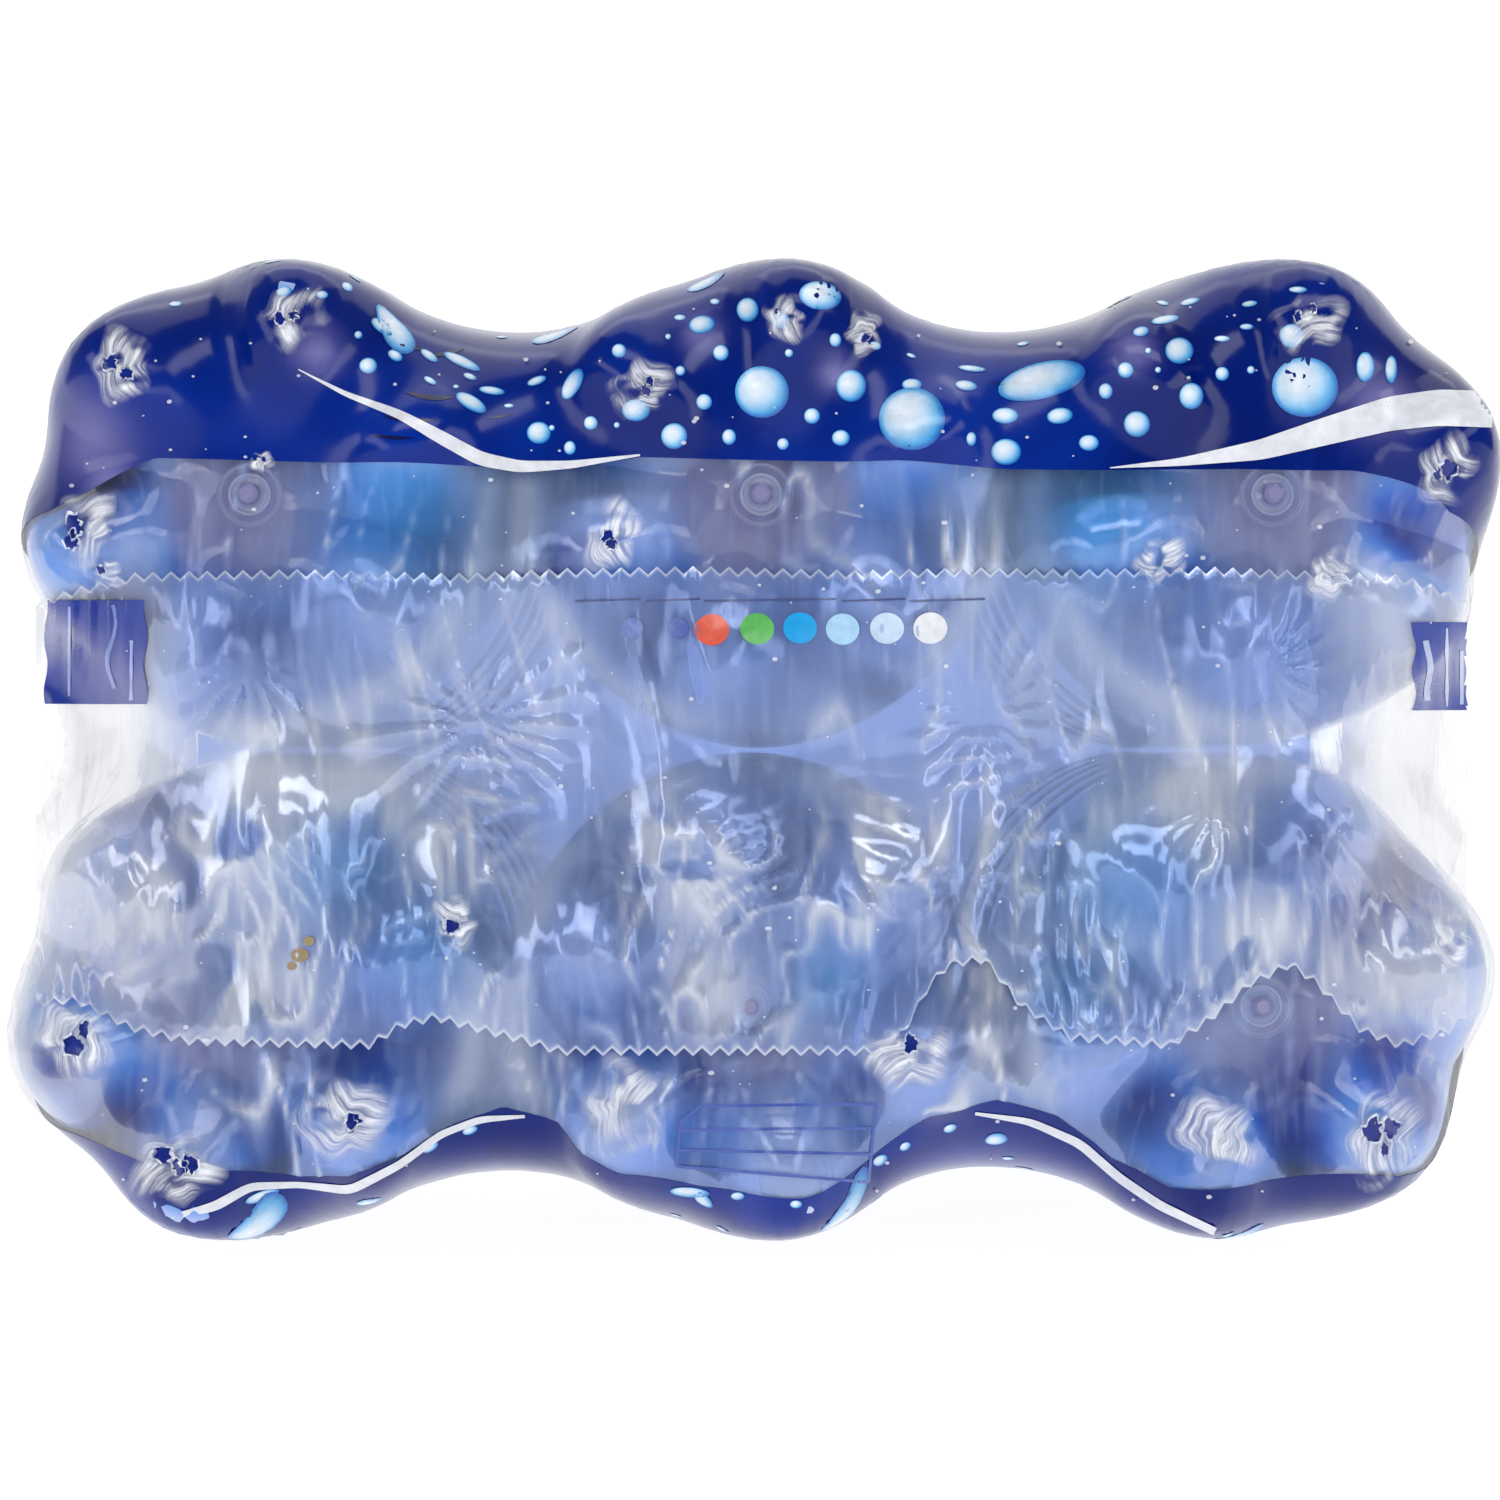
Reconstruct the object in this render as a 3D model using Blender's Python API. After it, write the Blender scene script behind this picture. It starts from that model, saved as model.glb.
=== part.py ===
"""Six-pack of 1.5 litre bottles of sparkling water, shrunk tight in printed film.

The pack lies on its long side, its base towards -Y and its caps towards +Y. The origin is the middle
of the footprint, at the height of the surface that the pack lies on. Lengths are in metres.
"""

import math

import bmesh
import bpy
import numpy as np
from mathutils import Vector

# The pack
COLUMNS = 3
ROWS = 2
BOTTLE_RADIUS = 0.044
BOTTLE_GAP = 0.0003
PITCH = 2 * BOTTLE_RADIUS + BOTTLE_GAP
ROW_SHIFTS = (-0.001, 0.001)

# The bottle, measured up its axis from the plane that its feet stand on
SHOULDER_START = 0.214
NECK_START = 0.289
RING_RADIUS = 0.0165
NECK_RADIUS = 0.0131
MOUTH_HEIGHT = 0.3095
MOUTH_RADIUS = 0.0108
BOTTLE_WALL = 0.0007
BOTTLE_SIDES = 24
INNER_SIDES = 12
INNER_BASE_RINGS = (0, 1, 2, 3, 5, 7)
INNER_SHOULDER_RINGS = (0, 2, 3, 4)

# The six-footed base: points of (radius, height) down a foot's crest and along the valley beside it
FOOT_COUNT = 6
FOOT_FULLNESS = 0.7
GATE_HEIGHT = 0.0065
FOOT_CREST = (
    (0.0055, GATE_HEIGHT),
    (0.0130, 0.0074),
    (0.0210, 0.0028),
    (0.0270, 0.0000),
    (0.0335, 0.0003),
    (0.0395, 0.0052),
    (0.0430, 0.0150),
    (BOTTLE_RADIUS, 0.0290),
)
VALLEY = (
    (0.0055, GATE_HEIGHT),
    (0.0130, 0.0078),
    (0.0210, 0.0104),
    (0.0275, 0.0140),
    (0.0335, 0.0182),
    (0.0388, 0.0240),
    (0.0425, 0.0320),
    (BOTTLE_RADIUS, 0.0410),
)
# How far each bottle is turned, in degrees, along the lower row and then along the upper row
FOOT_TURNS = ((15, 43, 12), (17, 18, 17))

SHOULDER = (
    (BOTTLE_RADIUS, SHOULDER_START),
    (0.0424, 0.231),
    (0.0372, 0.248),
    (0.0282, 0.266),
    (0.0190, 0.281),
    (NECK_RADIUS, NECK_START),
)

# The screw cap
CAP_RADIUS = 0.0152
CAP_BOTTOM = 0.2955
CAP_TOP = 0.3120
CAP_WALL = 0.0015
CAP_CHAMFER = 0.0009

# The drink, which leaves a flat pocket of gas along the upper side of each lying bottle
WATER_GAP = 0.0003
GAS_DEPTH = 0.0065

# The shrink film
FILM_THICKNESS = 0.0003
FILM_CLEARANCE = 0.0012
FILM_FLAT = 0.0010
HOLLOW_RADIUS = 0.052
OPENING_HALF_LENGTH = 0.082
OPENING_HALF_HEIGHT = 0.040
STRIP_HALF_WIDTH = 0.005
FILM_CELLS_BETWEEN = 6
FILM_CELLS_ROUND_CORNER = 4
FILM_CELLS_AT_END = 3
FILM_CELLS_BASE = 13
FILM_CELLS_TOP = 10
FILM_SIDE_SHARES = (0.0, 0.036, 0.080, 0.145, 0.270, 0.460, 0.670, 0.840)
FILM_STEPS = 400
CLEARING_STEPS = 10
CLEARING_SHARE = 0.5
FACE_CLEARANCE = 0.0009
FACE_SAMPLES = (
    (0.5, 0.5, 0.0, 0.0),
    (0.5, 0.0, 0.0, 0.5),
    (0.5, 0.0, 0.5, 0.0),
    (0.0, 0.5, 0.0, 0.5),
    (0.5, 0.25, 0.0, 0.25),
    (0.25, 0.5, 0.25, 0.0),
    (0.0, 0.25, 0.5, 0.25),
    (0.25, 0.0, 0.25, 0.5),
    (0.75, 0.25, 0.0, 0.0),
    (0.25, 0.75, 0.0, 0.0),
    (0.75, 0.0, 0.0, 0.25),
    (0.25, 0.0, 0.0, 0.75),
)
CAP_COVER = ((0.0, 0.3125), (0.0160, 0.3125), (0.0235, 0.3020), (0.0320, 0.2800), (0.0400, 0.2500))

END_LIMIT = 1.5 * PITCH + 2 * FILM_CLEARANCE
PACK_MIDDLE = PITCH / 2 + BOTTLE_RADIUS + FILM_CLEARANCE + FILM_THICKNESS
FEET_Y = -0.1569
OPENING_Y = FEET_Y + 0.128


def clear_scene():
    for found in list(bpy.data.objects):
        bpy.data.objects.remove(found)


def finish(name, colour, roughness, opacity=1.0):
    """A plain plastic, water or film colour."""
    material = bpy.data.materials.new(name)
    material.use_nodes = True
    surface = material.node_tree.nodes["Principled BSDF"]
    surface.inputs["Base Color"].default_value = (*colour, 1.0)
    surface.inputs["Roughness"].default_value = roughness
    surface.inputs["Alpha"].default_value = opacity
    return material


def add_object(name, mesh, material, parent):
    """Turns a bmesh into a named object that rides on parent."""
    bmesh.ops.recalc_face_normals(mesh, faces=mesh.faces)
    data = bpy.data.meshes.new(name)
    mesh.to_mesh(data)
    mesh.free()
    data.materials.append(material)
    data.shade_smooth()
    data.set_sharp_from_angle(angle=math.radians(35))
    made = bpy.data.objects.new(name, data)
    bpy.context.scene.collection.objects.link(made)
    made.parent = parent
    return made


def petal_share(angle):
    """1 along a foot's crest and 0 along the valley between two feet."""
    wave = 0.5 + 0.5 * math.cos(FOOT_COUNT * angle)
    return wave**FOOT_FULLNESS


def add_ring(mesh, points):
    """A closed ring of vertices at the given (radius, height) points, spread evenly about the axis."""
    turns = [2 * math.pi * i / len(points) for i in range(len(points))]
    return [
        mesh.verts.new((radius * math.cos(turn), radius * math.sin(turn), height))
        for turn, (radius, height) in zip(turns, points)
    ]


def round_ring(mesh, radius, height, sides):
    return add_ring(mesh, [(radius, height)] * sides)


def petal_ring(mesh, crest, valley, sides):
    """One ring of the footed base, which swings between its crest point and its valley point."""
    shares = [petal_share(2 * math.pi * i / sides) for i in range(sides)]
    return add_ring(
        mesh,
        [tuple(v + share * (c - v) for c, v in zip(crest, valley)) for share in shares],
    )


def join_rings(mesh, rings):
    """Skins neighbouring rings, which may have one side for every two of the ring before."""
    for low, high in zip(rings, rings[1:]):
        ratio = len(low) // len(high)
        for i in range(len(high)):
            after = (i + 1) % len(high)
            first, middle = low[ratio * i], low[(ratio * i + 1) % len(low)]
            last = low[ratio * (i + 1) % len(low)]
            mesh.faces.new((first, middle, high[i]))
            mesh.faces.new((middle, high[after], high[i]))
            if ratio == 2:
                mesh.faces.new((middle, last, high[after]))


def close_ring(mesh, ring, height):
    """Closes a ring with a fan about a point on the axis."""
    tip = mesh.verts.new((0, 0, height))
    for i, vert in enumerate(ring):
        mesh.faces.new((vert, ring[(i + 1) % len(ring)], tip))


def inset_profile(profile, depth):
    """The profile moved square to itself, towards the axis and away from the feet."""
    points = [Vector(point) for point in profile]
    moved = []
    for i, point in enumerate(points):
        along = points[min(i + 1, len(points) - 1)] - points[max(i - 1, 0)]
        across = Vector((-along.y, along.x)).normalized()
        moved.append(tuple(point + across * depth))
    return moved


def inner_rings(mesh, depth, mouth):
    """The inside of a bottle at the given depth under its outer surface, from its base to its mouth."""
    crest = inset_profile(FOOT_CREST, depth)
    valley = inset_profile(VALLEY, depth)
    shoulder = inset_profile(SHOULDER, depth)
    rings = [petal_ring(mesh, crest[i], valley[i], INNER_SIDES) for i in INNER_BASE_RINGS]
    rings += [round_ring(mesh, *shoulder[i], INNER_SIDES) for i in INNER_SHOULDER_RINGS]
    radius = MOUTH_RADIUS - (depth - BOTTLE_WALL)
    rings.append(round_ring(mesh, radius, NECK_START, INNER_SIDES))
    rings.append(round_ring(mesh, radius, mouth, INNER_SIDES))
    return rings


def make_bottle(name, material, parent):
    """The blown shell: footed base, straight body, shoulder, carrying ring and open mouth."""
    mesh = bmesh.new()
    outer = [petal_ring(mesh, c, v, BOTTLE_SIDES) for c, v in zip(FOOT_CREST, VALLEY)]
    neck = (
        (RING_RADIUS, NECK_START + 0.0010),
        (RING_RADIUS, NECK_START + 0.0032),
        (NECK_RADIUS, NECK_START + 0.0040),
        (NECK_RADIUS, MOUTH_HEIGHT),
    )
    outer += [round_ring(mesh, radius, height, BOTTLE_SIDES) for radius, height in SHOULDER[:4]]
    outer += [round_ring(mesh, radius, height, INNER_SIDES) for radius, height in SHOULDER[4:] + neck]
    inner = inner_rings(mesh, BOTTLE_WALL, MOUTH_HEIGHT)
    join_rings(mesh, outer)
    join_rings(mesh, inner)
    join_rings(mesh, (outer[-1], inner[-1]))
    close_ring(mesh, outer[0], GATE_HEIGHT)
    close_ring(mesh, inner[0], GATE_HEIGHT + BOTTLE_WALL)
    return add_object(name, mesh, material, parent)


def make_water(name, material, parent, upwards):
    """The drink: the inside of the bottle, cut flat along its upper side by the pocket of gas."""
    mesh = bmesh.new()
    depth = BOTTLE_WALL + WATER_GAP
    mouth = MOUTH_HEIGHT - WATER_GAP
    rings = inner_rings(mesh, depth, mouth)
    join_rings(mesh, rings)
    close_ring(mesh, rings[0], GATE_HEIGHT + depth)
    close_ring(mesh, rings[-1], mouth)
    cut = bmesh.ops.bisect_plane(
        mesh,
        geom=mesh.verts[:] + mesh.edges[:] + mesh.faces[:],
        dist=1e-6,
        plane_co=upwards * (BOTTLE_RADIUS - GAS_DEPTH),
        plane_no=upwards,
        clear_outer=True,
    )
    edges = [part for part in cut["geom_cut"] if isinstance(part, bmesh.types.BMEdge)]
    bmesh.ops.contextual_create(mesh, geom=edges)
    return add_object(name, mesh, material, parent)


def make_cap(name, material, parent):
    """The screw cap, a cup over the neck."""
    mesh = bmesh.new()
    inner_radius = CAP_RADIUS - CAP_WALL
    ceiling = CAP_TOP - CAP_WALL
    rim = CAP_RADIUS - CAP_CHAMFER
    shoulder = CAP_TOP - CAP_CHAMFER
    outside = ((rim, CAP_TOP), (CAP_RADIUS, shoulder), (CAP_RADIUS, CAP_BOTTOM))
    rings = [round_ring(mesh, radius, height, BOTTLE_SIDES) for radius, height in outside]
    for height in (CAP_BOTTOM, ceiling):
        rings.append(round_ring(mesh, inner_radius, height, INNER_SIDES))
    join_rings(mesh, rings)
    close_ring(mesh, rings[0], CAP_TOP)
    close_ring(mesh, rings[-1], ceiling)
    return add_object(name, mesh, material, parent)


def base_height(radius):
    """How high the film lies over the plane of the feet, which it spans from foot to foot."""
    heel = np.array(FOOT_CREST[3:])
    return np.interp(radius, heel[:, 0], heel[:, 1]) + 4 * np.maximum(radius - BOTTLE_RADIUS, 0)


def top_height(radius):
    """How high the film lies over the cap, neck and shoulder, at a distance from the bottle's axis."""
    profile = np.array(CAP_COVER + SHOULDER[:1])
    return np.interp(radius, profile[:, 0], profile[:, 1]) - 4 * np.maximum(radius - BOTTLE_RADIUS, 0)


def push_out(points, clearance):
    """Moves every point that is nearer than clearance to a bottle straight out of it."""
    row = (points[:, 2] > PACK_MIDDLE).astype(int)
    along = points[:, 0] - np.array(ROW_SHIFTS)[row]
    column = np.clip(np.round(along / PITCH), -1, 1)
    across = along - column * PITCH
    up = points[:, 2] - PACK_MIDDLE - (row - 0.5) * PITCH
    radius = np.maximum(np.hypot(across, up), 1e-6)
    height = points[:, 1] - FEET_Y
    step = 0.0005
    base_slope = (base_height(radius + step) - base_height(radius - step)) / (2 * step)
    top_slope = (top_height(radius + step) - top_height(radius - step)) / (2 * step)
    side = np.stack((across / radius, up / radius), axis=1)
    ways = (
        np.column_stack((side[:, 0], np.zeros_like(radius), side[:, 1])),
        np.column_stack((base_slope * side[:, 0], -np.ones_like(radius), base_slope * side[:, 1])),
        np.column_stack((-top_slope * side[:, 0], np.ones_like(radius), -top_slope * side[:, 1])),
    )
    ways = np.stack(ways)
    lengths = np.linalg.norm(ways, axis=2)
    gaps = np.stack((BOTTLE_RADIUS - radius, height - base_height(radius), top_height(radius) - height))
    depths = gaps / lengths
    nearest = depths.argmin(axis=0)
    index = np.arange(len(points))
    depth = depths[nearest, index] + clearance
    way = ways[nearest, index] / lengths[nearest, index][:, None]
    return points + way * np.maximum(depth, 0)[:, None]


def sleeve_loop():
    """The film's loop about the X axis, as (y, z, cell length) from the base up and round."""
    low, high = np.array((-1, 1)) * (PITCH / 2 + BOTTLE_RADIUS + FILM_CLEARANCE) + PACK_MIDDLE
    near, far = FEET_Y - FILM_CLEARANCE, FEET_Y + CAP_COVER[0][1] + FILM_CLEARANCE
    corners = ((near, low), (near, high), (far, high), (far, low), (near, low))
    side = np.array(FILM_SIDE_SHARES)
    back = 1 - np.append(side, 1.0)[:0:-1]
    shares = (np.arange(FILM_CELLS_BASE) / FILM_CELLS_BASE, side, np.arange(FILM_CELLS_TOP) / FILM_CELLS_TOP, back)
    points = []
    for (y0, z0), (y1, z1), along in zip(corners, corners[1:], shares):
        points += [(y0 + share * (y1 - y0), z0 + share * (z1 - z0)) for share in along]
    return np.array(points)


def sleeve_start():
    """The film before it shrinks, as a grid of points: columns along X, then points round the loop."""
    loop = sleeve_loop()
    reach = BOTTLE_RADIUS + FILM_CLEARANCE
    turns = np.linspace(math.asin(STRIP_HALF_WIDTH / reach), math.pi / 2, FILM_CELLS_ROUND_CORNER + 1)
    corner = [(PITCH + reach * math.sin(turn), PITCH / 2 + reach * math.cos(turn)) for turn in turns]
    between = np.linspace(STRIP_HALF_WIDTH, PITCH - STRIP_HALF_WIDTH, FILM_CELLS_BETWEEN + 1)
    spread_y = loop[:, 0] - loop[:, 0].mean()
    spread_z = (loop[:, 1] - PACK_MIDDLE) / (PITCH / 2 + reach)
    turn = np.arctan2(spread_z / np.ptp(spread_z), spread_y / np.ptp(spread_y))
    end = np.column_stack((np.full(len(loop), corner[-1][0]), loop[:, 0], PACK_MIDDLE + corner[-1][1] * spread_z))
    rim = np.column_stack(
        (
            end[:, 0] + FILM_CLEARANCE / 2,
            OPENING_Y + OPENING_HALF_LENGTH * np.cos(turn),
            PACK_MIDDLE + OPENING_HALF_HEIGHT * np.sin(turn),
        )
    )
    half = [
        np.column_stack((np.full(len(loop), x), loop[:, 0], PACK_MIDDLE + height * spread_z))
        for x, height in corner
    ]
    half += [end + step / FILM_CELLS_AT_END * (rim - end) for step in range(1, FILM_CELLS_AT_END + 1)]
    middle = [
        np.column_stack((np.full(len(loop), x), loop))
        for x in np.concatenate((between - PITCH, between))
    ]
    return np.array([column * (-1, 1, 1) for column in half[::-1]] + middle + half)


def grid_normals(grid):
    """The outward direction at each point of the film."""
    along = np.gradient(grid, axis=0)
    round_loop = np.roll(grid, -1, axis=1) - np.roll(grid, 1, axis=1)
    normal = np.cross(along, round_loop)
    normal /= np.linalg.norm(normal, axis=2, keepdims=True)
    middle = grid.mean(axis=(0, 1))
    inward = ((grid - middle) * normal).sum() < 0
    return -normal if inward else normal


def clear_faces(grid):
    """Moves the film's points until its faces keep clear of the bottles as well as its points."""
    after = np.roll(grid, -1, axis=1)
    corners = np.stack((grid[:-1], after[:-1], after[1:], grid[1:]))
    need = np.zeros(grid.shape[:2])
    for shares in FACE_SAMPLES:
        sample = np.tensordot(shares, corners, axes=1)
        push = push_out(sample.reshape(-1, 3), FACE_CLEARANCE).reshape(sample.shape) - sample
        depth = np.linalg.norm(push, axis=2)
        both = np.maximum(depth, np.roll(depth, 1, axis=1))
        need[:-1] = np.maximum(need[:-1], both)
        need[1:] = np.maximum(need[1:], both)
    return grid + grid_normals(grid) * (CLEARING_SHARE * need)[:, :, None]


def shrink(grid):
    """Lets the film pull tight over the bottles, hollow where it spans the gaps between them."""
    along = np.linalg.norm(np.diff(grid, axis=0), axis=2).mean(axis=1)
    round_loop = np.linalg.norm(np.roll(grid, -1, axis=1) - grid, axis=2)[len(grid) // 2]
    column_width = (np.append(along, along[-1]) + np.append(along[0], along)) / 2
    point_width = (round_loop + np.roll(round_loop, 1)) / 2
    pull_along = point_width[None, :] / along[:, None]
    pull_round = column_width[:, None] / round_loop[None, :]
    start = grid.copy()
    held = np.abs(start[:, :, 0]) < PITCH + 2 * STRIP_HALF_WIDTH
    height = start[:, :, 1] - FEET_Y
    fade = np.clip((SHOULDER_START - height) / SHOULDER_START, 0, 1)
    pressure = fade * column_width[:, None] * point_width[None, :] / HOLLOW_RADIUS
    for count in range(FILM_STEPS):
        force = np.zeros_like(grid)
        weight = np.zeros(grid.shape[:2])
        step = np.diff(grid, axis=0) * pull_along[:, :, None]
        force[:-1] += step
        force[1:] -= step
        weight[:-1] += pull_along
        weight[1:] += pull_along
        step = (np.roll(grid, -1, axis=1) - grid) * pull_round[:, :, None]
        force += step - np.roll(step, 1, axis=1)
        weight += pull_round + np.roll(pull_round, 1, axis=1)
        force -= grid_normals(grid) * pressure[:, :, None]
        moved = grid + 0.8 * force / weight[:, :, None]
        moved[:, :, 0][held] = start[:, :, 0][held]
        moved[0], moved[-1] = start[0], start[-1]
        grid = push_out(moved.reshape(-1, 3), FILM_CLEARANCE).reshape(grid.shape)
        if count > FILM_STEPS / 2:
            grid = clear_faces(grid)
    for _ in range(CLEARING_STEPS):
        grid = clear_faces(grid)
    return grid


def make_film(name, material, parent):
    """The shrunk film, a sleeve with an opening at each short end of the pack."""
    inner = shrink(sleeve_start())
    inner[:, :, 0] = np.clip(inner[:, :, 0], -END_LIMIT, END_LIMIT)
    outer = inner + grid_normals(inner) * FILM_THICKNESS
    on_floor = outer[:, :, 2] < FILM_FLAT
    outer[:, :, 2][on_floor] = 0.0
    inner[:, :, 2][on_floor] = FILM_THICKNESS
    mesh = bmesh.new()
    skins = [[[mesh.verts.new(point) for point in column] for column in grid] for grid in (outer, inner)]
    count = len(skins[0][0])
    for skin in skins:
        for left, right in zip(skin, skin[1:]):
            for i in range(count):
                after = (i + 1) % count
                mesh.faces.new((left[i], left[after], right[after], right[i]))
    for end in (0, -1):
        rim, inside = skins[0][end], skins[1][end]
        for i in range(count):
            after = (i + 1) % count
            mesh.faces.new((rim[i], rim[after], inside[after], inside[i]))
    return add_object(name, mesh, material, parent)


def main():
    clear_scene()
    shell = finish("bottle_plastic", (0.45, 0.62, 0.92), 0.08, 0.5)
    drink = finish("water", (0.72, 0.84, 0.98), 0.02, 0.5)
    screw = finish("cap_plastic", (0.03, 0.09, 0.50), 0.35)
    wrap = finish("film", (0.02, 0.08, 0.48), 0.12, 0.6)
    pack = bpy.data.objects.new("pack", None)
    bpy.context.scene.collection.objects.link(pack)
    pack.location = (0, FEET_Y, PACK_MIDDLE)
    for row in range(ROWS):
        for column in range(COLUMNS):
            place = f"c{column + 1}r{row + 1}"
            turn = -math.radians(FOOT_TURNS[row][column])
            upwards = Vector((-math.sin(turn), -math.cos(turn), 0))
            pieces = (
                make_bottle("bottle_" + place, shell, pack),
                make_water("water_" + place, drink, pack, upwards),
                make_cap("cap_" + place, screw, pack),
            )
            for piece in pieces:
                piece.rotation_euler = (math.radians(-90), 0, 0)
                piece.rotation_euler.rotate_axis("Z", turn)
                piece.location = ((column - 1) * PITCH + ROW_SHIFTS[row], 0, (row - 0.5) * PITCH)
    make_film("film", wrap, None)


main()
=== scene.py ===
"""Dresses a six-pack of sparkling water: clear blue bottles shrunk tight in printed film."""

import math

import bpy
import numpy as np
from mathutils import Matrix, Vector
from mathutils.bvhtree import BVHTree


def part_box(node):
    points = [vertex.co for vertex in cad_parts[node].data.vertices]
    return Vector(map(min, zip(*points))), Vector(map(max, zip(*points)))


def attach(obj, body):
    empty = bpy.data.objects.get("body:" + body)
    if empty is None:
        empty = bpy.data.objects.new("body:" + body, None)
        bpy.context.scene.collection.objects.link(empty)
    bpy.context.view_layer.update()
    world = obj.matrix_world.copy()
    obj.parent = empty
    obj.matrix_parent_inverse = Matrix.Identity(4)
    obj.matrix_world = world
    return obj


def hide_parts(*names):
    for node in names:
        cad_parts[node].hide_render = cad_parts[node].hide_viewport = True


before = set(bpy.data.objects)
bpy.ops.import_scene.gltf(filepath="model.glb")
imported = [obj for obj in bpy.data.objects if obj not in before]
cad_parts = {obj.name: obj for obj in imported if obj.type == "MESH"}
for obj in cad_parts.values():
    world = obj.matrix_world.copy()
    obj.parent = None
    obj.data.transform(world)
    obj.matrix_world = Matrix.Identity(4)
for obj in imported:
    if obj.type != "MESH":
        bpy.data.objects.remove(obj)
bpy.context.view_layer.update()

bl_info = {
    "name": "Six-pack of sparkling water",
    "version": (1, 0, 0),
    "blender": (4, 5, 0),
    "location": "3D View > Sidebar > Six-pack",
    "description": "Builds a shrink-wrapped pack of six bottles, its printed film and a studio",
    "category": "Add Mesh",
}

# Where things are, in metres. The pack lies on its long side with its base towards -Y.
PLACES = [(column, row) for row in (0, 1) for column in (0, 1, 2)]
NAMES = {(column, row): f"c{column + 1}r{row + 1}" for column, row in PLACES}
RADIUS = 0.044
PITCH = 0.0883
ROW_SHIFTS = (-0.001, 0.001)
FOOT_TURNS = ((15, 43, 12), (17, 18, 17))
SLACK = 0.992
SETBACK = 0.0005
FEET_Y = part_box("bottle_c1r1")[0].y
LOWEST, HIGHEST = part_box("bottle_c1r1")[0].z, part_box("bottle_c1r2")[1].z
MIDDLE = (LOWEST + HIGHEST) / 2

# How the photograph was taken: a camera level with the middle of the pack, 1500 pixels a side.
DISTANCE = 0.52
LENS = 73.25
SENSOR = 36.0
FILM_DISTANCE = DISTANCE + 0.004
PHOTO_MIDDLE = 750
EYE = (-0.0009, FEET_Y - DISTANCE, MIDDLE)
VIEW_SLOPE = SENSOR / LENS / (2 * PHOTO_MIDDLE)
PIXELS_PER_METRE = 5870

# The base of a bottle, as (radius, height) down a foot's crest and along the valley beside it.
FOOT_COUNT = 6
FOOT_FULLNESS = 0.7
CREST = np.array(
    (
        (0.0000, 0.0065), (0.0055, 0.0065), (0.0095, 0.0070), (0.0130, 0.0074), (0.0170, 0.0058),
        (0.0210, 0.0028), (0.0240, 0.0008), (0.0270, 0.0000), (0.0305, 0.0000), (0.0335, 0.0006),
        (0.0368, 0.0026), (0.0392, 0.0062), (0.0411, 0.0112), (0.0424, 0.0175), (0.0433, 0.0250),
        (0.0438, 0.0350),
    )
)
VALLEY = np.array(
    (
        (0.0000, 0.0065), (0.0055, 0.0065), (0.0095, 0.0071), (0.0130, 0.0078), (0.0170, 0.0090),
        (0.0210, 0.0104), (0.0243, 0.0120), (0.0275, 0.0140), (0.0306, 0.0160), (0.0335, 0.0182),
        (0.0362, 0.0209), (0.0386, 0.0242), (0.0406, 0.0284), (0.0421, 0.0330), (0.0432, 0.0385),
        (0.0438, 0.0440),
    )
)
GATE = (
    (0.0, 0.0040), (0.0011, 0.0040), (0.0016, 0.0046), (0.0018, 0.0060), (0.0030, 0.0066),
    (0.0033, 0.0061),
)
GATE_RINGS = (
    (0.0036, 0.0061), (0.0039, 0.0066), (0.0047, 0.0066), (0.0051, 0.0066), (0.0054, 0.0063),
    (0.0058, 0.0067),
)
SHOULDER = (
    (0.0440, 0.2140), (0.0434, 0.2230), (0.0422, 0.2310), (0.0400, 0.2400), (0.0370, 0.2480),
    (0.0330, 0.2570), (0.0282, 0.2660), (0.0232, 0.2745), (0.0190, 0.2808), (0.0155, 0.2860),
    (0.0131, 0.2890), (0.0131, 0.2900), (0.0164, 0.2902), (0.0165, 0.2906), (0.0165, 0.2918),
    (0.0164, 0.2922), (0.0131, 0.2930), (0.0131, 0.3095),
)
GROOVES = (0.070, 0.094, 0.118, 0.142, 0.166)
GROOVE_DEPTH = 0.0011
GROOVE_HALF_WIDTH = 0.0035

# The film: its round-ended openings at both ends, and the rows of its grid round the pack.
OPENING_Y = FEET_Y + 0.128
OPENING = (0.082, 0.040)
SIDE_SHARES = np.array((0.0, 0.03, 0.065, 0.105, 0.16, 0.23, 0.33, 0.46, 0.60, 0.74, 0.87))
CAP_COVER = np.array(
    (
        (0.0, 0.3122), (0.0155, 0.3122), (0.0225, 0.3010), (0.0300, 0.2790), (0.0400, 0.2480),
        (0.0440, 0.2140),
    )
)
BASE_ROWS, SIDE_ROWS, BACK_ROWS = 104, 44, 60
HEEL_ROWS = 16
SHRINK_STEPS = (260, 120, 60)
FLAT_BELOW, FLOOR_GAP = 0.0012, 0.0004

# Places read off the photograph, in its pixels: 1500 a side, y down.
UPPER_PY, LOWER_PY, CLEAR_END_PY, CRUMPLES_PY = 462, 1185, 1150, 775
RULES_PY = (601, 599)
FLAP_PX = (36.0, 1470.0)
FLAP_TOOTH_PX = 4.5
SPECKS_PX, SPECKS_PY = (50, 1450), (300, 1200)
PRINT_EDGE = (
    (20, 478), (60, 462), (180, 457), (330, 462), (480, 466), (560, 470), (640, 457), (760, 459),
    (900, 462), (1000, 468), (1120, 470), (1240, 468), (1340, 470), (1420, 465), (1490, 480),
)
LOWER_PRINT_EDGE = (
    (40, 1110), (100, 1136), (200, 1168), (300, 1182), (350, 1178), (440, 1132), (500, 1110),
    (560, 1125), (620, 1175), (700, 1192), (800, 1196), (870, 1165), (930, 1120), (1000, 1104),
    (1060, 1120), (1120, 1165), (1190, 1188), (1300, 1182), (1400, 1150), (1460, 1105),
)
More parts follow.
